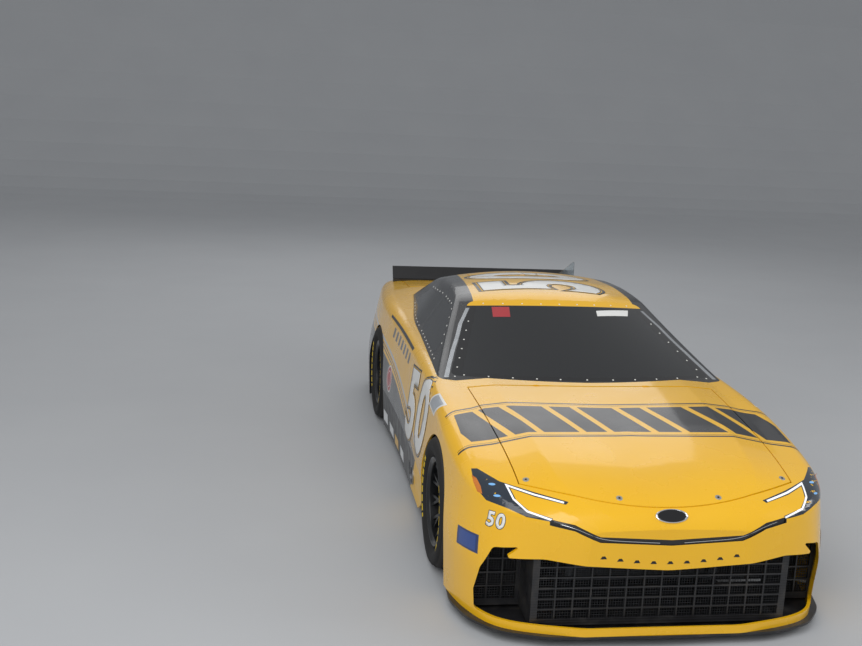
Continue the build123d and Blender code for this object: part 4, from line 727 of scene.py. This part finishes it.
# Two plain strips sit under the yellow band, and a bright rubbing strip runs down each front pillar
red_vinyl = vinyl("red_vinyl", ("#B5232C", "#A81E27"))
silver_film = vinyl("silver_pillar_film", ("#C9CCCF", "#AEB2B6"), 0.18, Metallic=0.8)
GLASS_FACING = (0.0, -0.42, 0.9)
sticker("windshield_red_patch", ((-0.436, -0.160, 1.189), (-0.328, -0.190, 1.197), (-0.340, -0.292, 1.151),
                                 (-0.446, -0.266, 1.144)), GLASS_FACING, red_vinyl)
sticker("windshield_white_strip", ((0.235, -0.236, 1.19), (0.474, -0.160, 1.18), (0.451, -0.232, 1.156),
                                   (0.229, -0.293, 1.165)), GLASS_FACING, white_vinyl)
PILLAR_LINE = ((-0.585, -0.115, 1.17), (-0.655, -0.270, 1.096), (-0.700, -0.41, 1.045),
               (-0.742, -0.536, 0.994), (-0.790, -0.69, 0.942), (-0.826, -0.830, 0.895))
PILLAR_STRIP = 0.022          # width of the rubbing strip
for hand, sign in (("right", 1), ("left", -1)):
    facing = (-sign * 0.66, -0.3, 0.68)
    strip = ribbon(mirrored(PILLAR_LINE, sign), PILLAR_STRIP, facing)
    sticker(f"pillar_strip_{hand}", strip, facing, silver_film)


# Screws
# Small countersunk screws with white nylon washers hold the windshield, the side panes and the foot of
# the canopy. One is modelled, and its copies are set on the skin in rows.
SCREW_R, SCREW_FLAT = 0.0055, 0.45
nylon = surface("nylon_screw_washer", ("#EFEFEA", "#D9D9D2"), 0.004, (0.4, 0.6), 0.003)
bpy.ops.mesh.primitive_uv_sphere_add(segments=10, ring_count=6, radius=SCREW_R)
stud = bpy.context.object
stud.scale = (1, 1, SCREW_FLAT)
settled(stud)


def on_skin(point, facing):
    """Place and normal of the skin seen from outside along a direction."""
    out = Vector(facing).normalized()
    _, place, normal, _ = skin.ray_cast(Vector(point) + out * 0.2, -out, distance=0.8)
    return place, normal if normal.dot(out) > 0 else -normal


def stud_row(name, spots, material, body="chassis", model=stud):
    """Copies of one small piece set on the skin and joined."""
    copies = []
    for point, facing in spots:
        place, normal = on_skin(point, facing)
        copy = free_copy(model)
        turn = Vector((0, 0, 1)).rotation_difference(normal).to_matrix().to_4x4()
        copy.data.transform(Matrix.Translation(place) @ turn)
        copies.append(copy)
    return keep(joined(copies), name, material, body)


def between(a, b, count):
    """Evenly spaced points from one to the other."""
    return [Vector(a).lerp(Vector(b), (i + 0.5) / count) for i in range(count)]


EDGE_ROOM_HEAD, EDGE_ROOM_FOOT = 0.012, 0.014       # from the pane's edge to its screws
HEAD_SCREW_Y = -0.2
PANE_SIDE = ((0.588, -0.21, 1.12), (0.79, -0.88, 0.9))
GLASS_OUT = (0, -0.3, 1)
foot = [(x, FOOT_Y + FOOT_BOW * x * x + EDGE_ROOM_FOOT, 0.9)
        for x in (-0.72, -0.58, -0.44, -0.3, -0.16, 0, 0.16, 0.3, 0.44, 0.58, 0.72)]
head = [(x, HEAD_SCREW_Y + HEAD_BOW * x * x + EDGE_ROOM_HEAD, 1.2)
        for x in (-0.48, -0.36, -0.24, -0.12, 0, 0.12, 0.24, 0.36, 0.48)]
spots = [(p, GLASS_OUT) for p in foot + head]
for sign in (-1, 1):
    spots += [(p, GLASS_OUT) for p in between(*mirrored(PANE_SIDE, sign), 7)]
stud_row("windshield_screws", spots, nylon)
SIDE_ROWS = (
    # Start and end of a row, as the place along the car and the height, and the number of screws
    ((-0.50, 0.915), (0.33, 0.925), 9),
    ((0.40, 0.925), (1.17, 0.952), 8),
    ((-0.42, 0.975), (0.0, 1.163), 5),
    ((0.02, 1.163), (0.33, 1.163), 4),
    ((0.39, 1.163), (0.86, 1.128), 5),
)
side_spots = []
for sign in (-1, 1):
    for a, b, count in SIDE_ROWS:
        side_spots += [((sign * 0.8, y, z), (sign, 0, 0)) for y, z, _ in between((*a, 0), (*b, 0), count)]
    side_spots += [((sign * 0.86, y, 0.885), (sign, 0, 0.35)) for y in (-0.72, -0.6, -0.48)]
stud_row("side_window_screws", side_spots, nylon)
bpy.data.objects.remove(stud)


# Hood pins
# Four quick-release pins lock the hood: a bright scuff plate with a dark plunger in its middle, let
# into the hood along its front edge.
HOOD_PINS = ((-0.654, -2.168, 0.745), (-0.232, -2.318, 0.700), (0.262, -2.318, 0.700),
             (0.654, -2.168, 0.745))
PLATE_R, PLATE_THICK, PLUNGER_R, PLUNGER_LONG = 0.016, 0.003, 0.0058, 0.008
anodised = surface("anodised_aluminium", ("#D4D5D2", "#BFC0BD"), 0.01, (0.25, 0.4), 0.01, Metallic=0.9)
dark_steel = surface("blackened_steel", ("#2A2A2C", "#3A3A3B"), 0.01, (0.3, 0.5), 0.01, Metallic=0.8)


def plate(radius, thick):
    """Round plate with a bevelled edge."""
    bpy.ops.mesh.primitive_cylinder_add(vertices=32, radius=radius, depth=thick)
    piece = bpy.context.object
    shaped(piece, "BEVEL", width=thick * 0.35, segments=2)
    return piece


for name, radius, thick, material in (("hood_pin_plates", PLATE_R, PLATE_THICK, anodised),
                                      ("hood_pin_plungers", PLUNGER_R, PLUNGER_LONG, dark_steel)):
    model = plate(radius, thick)
    stud_row(name, [(p, (0, -0.35, 1)) for p in HOOD_PINS], material, "hood", model)
    bpy.data.objects.remove(model)


# Window net
# The driver's window holds a net of 20 mm polyester webbing, sewn in a grid with the upright straps
# inside. Its matt weave takes the shine off. It follows the outer face of the CAD net that it replaces.
NET_STRAP, NET_THICK, NET_STEP = 0.02, 0.0016, 0.062
NET_SAMPLE = 0.02             # distance between the points of a strap
ROW_FROM, ROW_SINK = 0.018, Vector((-0.001, 0, 0))
COLUMN_FROM, COLUMN_FOOT, COLUMN_SINK = 0.02, 0.006, Vector((-0.003, 0, 0))
net_low, net_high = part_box("window_net")
webbing_dark = surface("polyester_net_webbing", ("#1C1C1E", "#29292B"), 0.006, (0.75, 0.9), 0.01,
                       (0.0018, 0.0004, 0.6), Sheen_Weight=0.2)
net_form = free_copy(node["window_net"])


def net_point(y, z):
    """Place on the net's outer face beside a point of the window."""
    hit, place, _, _ = net_form.ray_cast((1.2, y, z), (-1, 0, 0))
    return place if hit else None


def turned_out(piece):
    """Turns all faces of a piece to the outside."""
    only(piece)
    bpy.ops.object.mode_set(mode="EDIT")
    bpy.ops.mesh.select_all(action="SELECT")
    bpy.ops.mesh.normals_make_consistent(inside=False)
    bpy.ops.object.mode_set(mode="OBJECT")


def strap(points, wide_way):
    """Flat strap along points, as a strip with thickness."""
    bpy.ops.mesh.primitive_plane_add(size=1)
    piece = bpy.context.object
    mesh = bpy.data.meshes.new("strap")
    wide = Vector(wide_way).normalized() * NET_STRAP / 2
    corners = [p + side * wide for p in points for side in (-1, 1)]
    mesh.from_pydata(corners, [], [(2 * i, 2 * i + 2, 2 * i + 3, 2 * i + 1) for i in range(len(points) - 1)])
    piece.data = mesh
    turned_out(piece)
    shaped(piece, "SOLIDIFY", thickness=NET_THICK, offset=0)
    return piece


straps = []
net_long, net_deep = net_high.y - net_low.y, net_high.z - net_low.z
for i in range(int(net_deep / NET_STEP)):
    z = net_low.z + ROW_FROM + i * NET_STEP
    run = [net_point(net_low.y + j * NET_SAMPLE, z) for j in range(int(net_long / NET_SAMPLE) + 1)]
    run = [p + ROW_SINK for p in run if p]
    if len(run) > 2:
        straps.append(strap(run, (-0.25, 0, 1)))
for j in range(int(net_long / NET_STEP) + 1):
    y = net_low.y + COLUMN_FROM + j * NET_STEP
    foot_z = net_low.z + COLUMN_FOOT
    run = [net_point(y, foot_z + i * NET_SAMPLE) for i in range(int(net_deep / NET_SAMPLE) + 1)]
    run = [p + COLUMN_SINK for p in run if p]
    if len(run) > 2:
        straps.append(strap(run, (0, 1, 0)))
net = keep(joined(straps), "woven_window_net", webbing_dark)
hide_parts("window_net")
bpy.data.objects.remove(net_form)


# Roof fin and spoiler
# The shark fin on the left of the roof is clear polycarbonate. The spoiler is a plain black plate with
# folded braces, bolted to the decklid through its foot.
wear(["roof_fin"], surface("clear_polycarbonate_fin", ("#DDE6EA", "#CFDBE0"), 0.2, (0.03, 0.1), 0.2,
                           Transmission_Weight=0.85, IOR=1.58))
wear(["spoiler"], surface("black_anodised_spoiler", ("#18181A", "#222224"), 0.15, (0.32, 0.5), 0.12,
                          (0.004, 0.0002, 0.15), Metallic=0.3, Coat_Weight=0.3, Coat_Roughness=0.2))


# Carbon composite
# Splitter, skirts, floor, diffuser, liners and the grille insert are laid up in carbon twill with a
# satin resin face. The tows are really 2 mm wide; they are drawn 7 mm wide so that the weave shows.
TOW = 0.007


def carbon_dress(tree, front_corner=False):
    """Dark twill with scuffs, and on the skirts a yellow corner behind the front wheel."""
    place = add(tree, "TexCoord", out=3)
    turned = add(tree, "Mapping", place, None, (0.0, 0.0, math.radians(45)))
    weave = add(tree, "TexChecker", turned, linear("#141416"), linear("#242427"), 1 / TOW)
    dust = add(tree, "TexNoise", place, None, 9.0, 6.0)
    colour = add(tree, "MixRGB", add(tree, "MapRange", dust, 0.52, 0.75, 0.0, 0.22), weave, linear("#6B665E"))
    if front_corner:
        x, y, z, aside = place_of(tree)
        ahead_of_sweep = straight(tree, CORNER_AT, (y, 1.0), (z, CORNER_SLANT))
        colour = printed(tree, colour, YELLOW, (ahead_of_sweep, -FAR, 0.0))
    return {"Base Color": colour, "Roughness": add(tree, "MapRange", dust, 0.3, 0.7, 0.34, 0.62),
            "Normal": add(tree, "Bump", 0.25, 0.0003, None, weave)}


carbon = finish("carbon_twill_satin", carbon_dress, Coat_Weight=0.25, Coat_Roughness=0.25)
wear(["front_splitter", "underfloor", "rear_diffuser", "wheel_liners", "lower_grille", "dashboard"], carbon)
wear(["side_skirts"], finish("carbon_skirt_wrapped_corner", lambda tree: carbon_dress(tree, True),
                             Coat_Weight=0.4, Coat_Roughness=0.15))

# A fine wire screen is fixed behind the grille bars and the duct screens, to keep stones off the coolers
SCREENS = (
    # Name, span across the car, span in height, and the place along the car
    ("grille_wire", -0.62, 0.62, 0.10, 0.44, -2.3525),
    ("duct_wire_left", 0.66, 0.89, 0.11, 0.45, -2.1165),
    ("duct_wire_right", -0.89, -0.66, 0.11, 0.45, -2.1165),
)
WIRE_R, WIRE_STEP = 0.0011, 0.013
woven_wire = surface("woven_steel_wire", ("#3B3C3E", "#56575A"), 0.02, (0.35, 0.55), 0.02, Metallic=0.8)
for name, x0, x1, z0, z1, y in SCREENS:
    wires = []
    for upright, low, high, start, end in ((True, x0, x1, z0, z1), (False, z0, z1, x0, x1)):
        bpy.ops.mesh.primitive_cylinder_add(vertices=6, radius=WIRE_R, depth=end - start)
        wire = bpy.context.object
        middle = (start + end) / 2
        if upright:
            wire.location = (low, y, middle)
        else:
            wire.rotation_euler = (0, math.pi / 2, 0)
            wire.location = (middle, y + 2 * WIRE_R, low)
        settled(wire)
        shaped(wire, "ARRAY", use_relative_offset=False, use_constant_offset=True,
               constant_offset_displace=(WIRE_STEP, 0, 0) if upright else (0, 0, WIRE_STEP),
               count=int((high - low) / WIRE_STEP) + 1)
        wires.append(wire)
    keep(joined(wires), name, woven_wire)


# Tail
# Plain printed tail lamps: a red lamp with a dark edge at each corner, joined by a thin red line over a
# black panel.
REAR = (0.0, 1.0, 0.12)
TAIL_LAMP_Y, TAIL_FILM_Y = 2.42, 2.43
LAMP_TAIL = ((0.44, 0.775), (0.60, 0.80), (0.80, 0.825), (0.86, 0.79), (0.85, 0.735), (0.74, 0.715),
             (0.56, 0.725))
TAIL_LINE = ((-0.46, 0.765), (0.46, 0.765), (0.46, 0.749), (-0.46, 0.749))
TAIL_PANEL = ((-0.50, 0.60), (0.50, 0.60), (0.56, 0.44), (-0.56, 0.44))
lamp_red = vinyl("red_lamp_print", ("#A3141C", "#7E0F16"), 0.15)
lamp_edge = vinyl("black_lamp_print", ("#0E0E10", "#151518"), 0.15)
LAMP_LAYERS = ((0.86, lamp_red, 0.0013), (0.52, lamp_edge, 0.0018), (0.36, lamp_red, 0.0023))
for hand, sign in (("right", -1), ("left", 1)):
    outline = [(sign * x, TAIL_LAMP_Y, z) for x, z in LAMP_TAIL]
    middle = sum((Vector(p) for p in outline), Vector()) / len(outline)
    facing = (sign * 0.35, 1.0, 0.1)
    sticker(f"tail_lamp_{hand}_edge", outline, facing, lamp_edge)
    for number, (share, print_over, lift) in enumerate(LAMP_LAYERS):
        smaller = [middle + (Vector(p) - middle) * share for p in outline]
        sticker(f"tail_lamp_{hand}_{number}", smaller, facing, print_over, lift)
for name, outline, material in (("tail_line", TAIL_LINE, lamp_red), ("tail_panel", TAIL_PANEL, lamp_edge)):
    sticker(name, [(x, TAIL_FILM_Y, z) for x, z in outline], REAR, material)


# Wheels
# Each wheel is a forged aluminium rim in satin black round a bright hub nut, and a slick tyre whose
# moulded sidewall carries plain yellow dashes in two arcs.
TREAD_FROM, RINGS_AT, DASHES_AT = 0.342, (0.25, 0.28), (0.284, 0.305)      # distances from the axle
OUTER_WALL, HUB_FACE = 0.955, 0.86                  # distances from the car's middle plane
axle_z = sum(corner.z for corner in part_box("tyre_front_left")) / 2


def about_axle(tree, axle_y):
    """Distance from a wheel's axle line, angle round it, and the distance from the car's middle plane."""
    x, y, z, aside = place_of(tree)
    from_y = add(tree, "Math", y, axle_y, operation="SUBTRACT")
    from_z = add(tree, "Math", z, axle_z, operation="SUBTRACT")
    spread = add(tree, "VectorMath", add(tree, "CombineXYZ", 0.0, from_y, from_z), operation="LENGTH", out=1)
    return spread, add(tree, "Math", from_z, from_y, operation="ARCTAN2"), aside


def tyre_dress(tree, axle_y):
    """Rubber: a scrubbed tread, moulded rings on the sidewall and yellow dashes in two arcs."""
    spread, angle, aside = about_axle(tree, axle_y)
    scrub = add(tree, "TexNoise", add(tree, "TexCoord", out=3), None, 60.0, 6.0, 0.7)
    ground = add(tree, "MixRGB", scrub, linear("#19191A"), linear("#2B2A29"))
    tread = inside(tree, (spread, TREAD_FROM, 1.0))
    ground = add(tree, "MixRGB", add(tree, "Math", tread, 0.6, operation="MULTIPLY"), ground,
                 add(tree, "MixRGB", scrub, linear("#2A2826"), linear("#454240")))
    twice = add(tree, "Math", add(tree, "Math", angle, 2.0, operation="MULTIPLY"), operation="COSINE")
    dashes = add(tree, "Math", straight(tree, 20.0, (angle, 5.6)), operation="FRACT")
    ground = printed(tree, ground, "#D9B92E", (spread, *DASHES_AT), (aside, OUTER_WALL, 2.0),
                     (twice, 0.25, 1.1), (dashes, 0.0, 0.74))
    rings = add(tree, "Math", straight(tree, 0.0, (spread, 520.0)), operation="SINE")
    moulded = add(tree, "Math", rings, inside(tree, (spread, *RINGS_AT)), operation="MULTIPLY")
    return {"Base Color": ground, "Roughness": add(tree, "MapRange", scrub, 0.3, 0.7, 0.72, 0.92),
            "Normal": add(tree, "Bump", 0.4, 0.0012, None, straight(tree, 0.0, (scrub, 0.8), (moulded, 0.4)))}


def disc_dress(tree, axle_y):
    """Turned iron disc with a bright hub nut and a heat-darkened swept face."""
    spread, angle, aside = about_axle(tree, axle_y)
    rings = add(tree, "Math", straight(tree, 0.0, (spread, 2600.0)), operation="SINE")
    iron = speckle(tree, ("#4A4746", "#5D5856"), 0.05)
    colour = printed(tree, iron, "#33302F", (spread, 0.112, 0.118))
    colour = printed(tree, colour, "#C4C6C8", (spread, 0.0, 0.056), (aside, HUB_FACE, 2.0))
    return {"Base Color": colour, "Roughness": patchy(tree, 0.28, 0.45, 0.03),
            "Normal": add(tree, "Bump", 0.15, 0.0003, None, rings)}


wheel_black = surface("satin_black_forged_rim", ("#1E1F21", "#2A2B2D"), 0.05, (0.28, 0.42), 0.04,
                      (0.003, 0.0001, 0.12), Metallic=0.55, Coat_Weight=0.3, Coat_Roughness=0.15)
for end in ("front", "rear"):
    low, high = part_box(f"tyre_{end}_left")
    axle_y = (low.y + high.y) / 2
    rubber = finish(f"slick_tyre_rubber_{end}", lambda tree: tyre_dress(tree, axle_y),
                    Specular_IOR_Level=0.35)
    iron = finish(f"turned_iron_disc_{end}", lambda tree: disc_dress(tree, axle_y), Metallic=0.85)
    for hand in ("left", "right"):
        wear([f"tyre_{end}_{hand}"], rubber)
        wear([f"rim_{end}_{hand}"], wheel_black)
        wear([f"brake_disc_{end}_{hand}"], iron)


# Frame and running gear
# The frame is welded from round and square steel tube in grey two-pack paint. Arms, dampers and uprights
# are machined aluminium and plated steel; the engine, transaxle and coolers are plain castings and cores.

# Two-pack paint is even and half gloss, over a slight orange peel
grey_paint = surface("grey_frame_paint", ("#5B5E62", "#66696D"), 0.12, (0.35, 0.55), 0.08,
                     (0.006, 0.0002, 0.15), Coat_Weight=0.3, Coat_Roughness=0.2)
# Milled aluminium is pale with fine cutter marks, and plated steel is darker and smooth
machined = surface("machined_aluminium", ("#A6A8AB", "#8F9194"), 0.03, (0.3, 0.5), 0.02,
                   (0.001, 0.0001, 0.2), Metallic=0.9)
plated = surface("zinc_plated_steel", ("#8A8C8F", "#77797C"), 0.02, (0.28, 0.45), 0.02, Metallic=0.9)
# Sand-cast aluminium is dull and grainy, and brushed sheet has a soft sheen
cast_metal = surface("cast_aluminium", ("#7C7E80", "#6A6C6E"), 0.05, (0.5, 0.7), 0.02, (0.0025, 0.0005, 0.5),
                     Metallic=0.7)
sheet = surface("brushed_aluminium_sheet", ("#6D7073", "#5F6265"), 0.2, (0.35, 0.5), 0.1, Metallic=0.6)
FIN_STEP, TUBE_STEP = 0.004, 0.011


def core_dress(tree):
    """Cooler core: upright fins between flat tubes, with the gaps between the fins darkened as painted shade.
    """
    x, y, z, aside = place_of(tree)
    fins = add(tree, "Math", straight(tree, 0.0, (x, 1 / FIN_STEP)), operation="FRACT")
    fins = add(tree, "Math", fins, 0.5, operation="GREATER_THAN")
    # The dark grey between the fins is painted shade in the gaps; the fins themselves take the paler grey
    colour = add(tree, "MixRGB", fins, linear("#2B2D2F"), linear("#55585B"))
    tubes = add(tree, "Math", straight(tree, 0.0, (z, 1 / TUBE_STEP)), operation="FRACT")
    colour = printed(tree, colour, "#707377", (tubes, 0.0, 0.2))
    return {"Base Color": colour, "Roughness": patchy(tree, 0.4, 0.6, 0.05),
            "Normal": add(tree, "Bump", 0.5, 0.001, None, fins)}


wear(["roll_cage", "front_clip", "rear_clip"], grey_paint)
wear(["knuckle_front_left", "knuckle_front_right", "rear_knuckles"], machined)
wear(["exhaust_outlets", "fuel_filler"], machined)
wear(["wishbones", "dampers", "steering_rack"], plated)
wear(["engine", "transaxle"], cast_metal)
wear(["cabin_tub"], sheet)
wear(["radiator"], finish("aluminium_cooler_core", core_dress, Metallic=0.7))
wear(["fuel_cell"], surface("textured_black_fuel_can", ("#202022", "#2A2A2C"), 0.05, (0.55, 0.7), 0.03,
                            (0.002, 0.0004, 0.5)))
wear(["seat"], finish("carbon_seat_shell", carbon_dress))
wear(["steering_wheel"], surface("suede_wheel_grip", ("#1B1B1D", "#262628"), 0.008, (0.8, 0.95), 0.01,
                                 (0.001, 0.0003, 0.5), Sheen_Weight=0.3))

# A coil spring is wound round each damper between its two spring plates
SPRING_R, SPRING_WIRE, SPRING_TURNS = 0.037, 0.0055, 7
DAMPER_FOOT_X, DAMPER_TOP_X = 0.560, 0.430
EYE_IN, EYE_UP, EYE_DOWN = 0.036, 0.016, 0.0165     # from the dampers' box to the middles of their eyes
SPRING_FROM, SPRING_TO = 0.245, 0.835               # shares of a damper's length
spring_steel = surface("powder_coated_spring", ("#B4231F", "#9E1D1A"), 0.03, (0.3, 0.45), 0.02,
                       Coat_Weight=0.4)
damper_low, damper_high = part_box("dampers")
springs = []
for sign in (-1, 1):
    for y in (damper_low.y + EYE_IN, damper_high.y - EYE_IN):
        foot_at = Vector((sign * DAMPER_FOOT_X, y, damper_low.z + EYE_UP))
        top_at = Vector((sign * DAMPER_TOP_X, y, damper_high.z - EYE_DOWN))
        axis = top_at - foot_at
        start, end = foot_at + axis * SPRING_FROM, foot_at + axis * SPRING_TO
        bpy.ops.mesh.primitive_circle_add(vertices=8, radius=SPRING_WIRE)
        coil = bpy.context.object
        coil.data.transform(Matrix.Translation((SPRING_R, 0, 0)) @ Matrix.Rotation(math.pi / 2, 4, "X"))
        shaped(coil, "SCREW", angle=2 * math.pi * SPRING_TURNS, screw_offset=(end - start).length,
               steps=24 * SPRING_TURNS, render_steps=24 * SPRING_TURNS)
        bpy.ops.object.mode_set(mode="EDIT")
        bpy.ops.mesh.select_all(action="SELECT")
        bpy.ops.mesh.region_to_loop()
        bpy.ops.mesh.edge_face_add()
        bpy.ops.object.mode_set(mode="OBJECT")
        turned_out(coil)
        turn = Vector((0, 0, 1)).rotation_difference(axis.normalized()).to_matrix().to_4x4()
        coil.data.transform(Matrix.Translation(start) @ turn)
        springs.append(coil)
keep(joined(springs), "damper_springs", spring_steel)


# Studio
# A plain pale floor runs up into a pale backdrop, under a large soft lamp before the car's nose and
# weaker ones beside and behind it, at a level where the yellow renders about as it is written.
bpy.data.objects.remove(skin)
FLOOR_TONES = ("#B9BBBD", "#B2B4B7")
FLOOR_SIZE, BACKDROP_RUN, BACKDROP_ROUND = 44, (0, 3, 16), 6
studio_paint = surface("pale_studio_paint", FLOOR_TONES, 1.2, (0.6, 0.75), 0.8)
bpy.ops.mesh.primitive_plane_add(size=FLOOR_SIZE, location=(0, 0, 0))
floor = bpy.context.object
floor.name = "studio_floor"
only(floor)
bpy.ops.object.mode_set(mode="EDIT")
bpy.ops.mesh.select_all(action="DESELECT")
bpy.ops.object.mode_set(mode="OBJECT")
for edge in floor.data.edges:
    edge.select = all(floor.data.vertices[v].co.y > 0 for v in edge.vertices)
bpy.ops.object.mode_set(mode="EDIT")
bpy.ops.mesh.extrude_region_move(TRANSFORM_OT_translate={"value": BACKDROP_RUN})
bpy.ops.object.mode_set(mode="OBJECT")
shaped(floor, "BEVEL", width=BACKDROP_ROUND, segments=12)
floor.data.materials.append(studio_paint)

LAMPS_AT = (
    # Place, aim, size, power
    ((-3.4, -6.4, 6.0), (0.0, -0.8, 0.5), (8.0, 8.0), 460.0),
    ((6.5, -3.0, 4.0), (0.0, 0.0, 0.5), (4.0, 2.6), 130.0),
    ((0.0, 8.5, 6.5), (0.0, 1.0, 0.5), (9.0, 6.0), 150.0),
)
for place, aim, size, power in LAMPS_AT:
    bpy.ops.object.light_add(type="AREA", location=place)
    lamp = bpy.context.object
    lamp.data.shape = "RECTANGLE"
    lamp.data.size, lamp.data.size_y = size
    lamp.data.energy = power
    lamp.rotation_euler = (Vector(aim) - Vector(place)).to_track_quat("-Z", "Y").to_euler()

SKY, SKY_LEVEL = "#E6E8EB", 0.5
world = bpy.data.worlds.new("studio")
world.use_nodes = True
background = world.node_tree.nodes["Background"]
background.inputs["Color"].default_value = linear(SKY)
background.inputs["Strength"].default_value = SKY_LEVEL
bpy.context.scene.world = world
bpy.context.scene.view_settings.view_transform = "Standard"
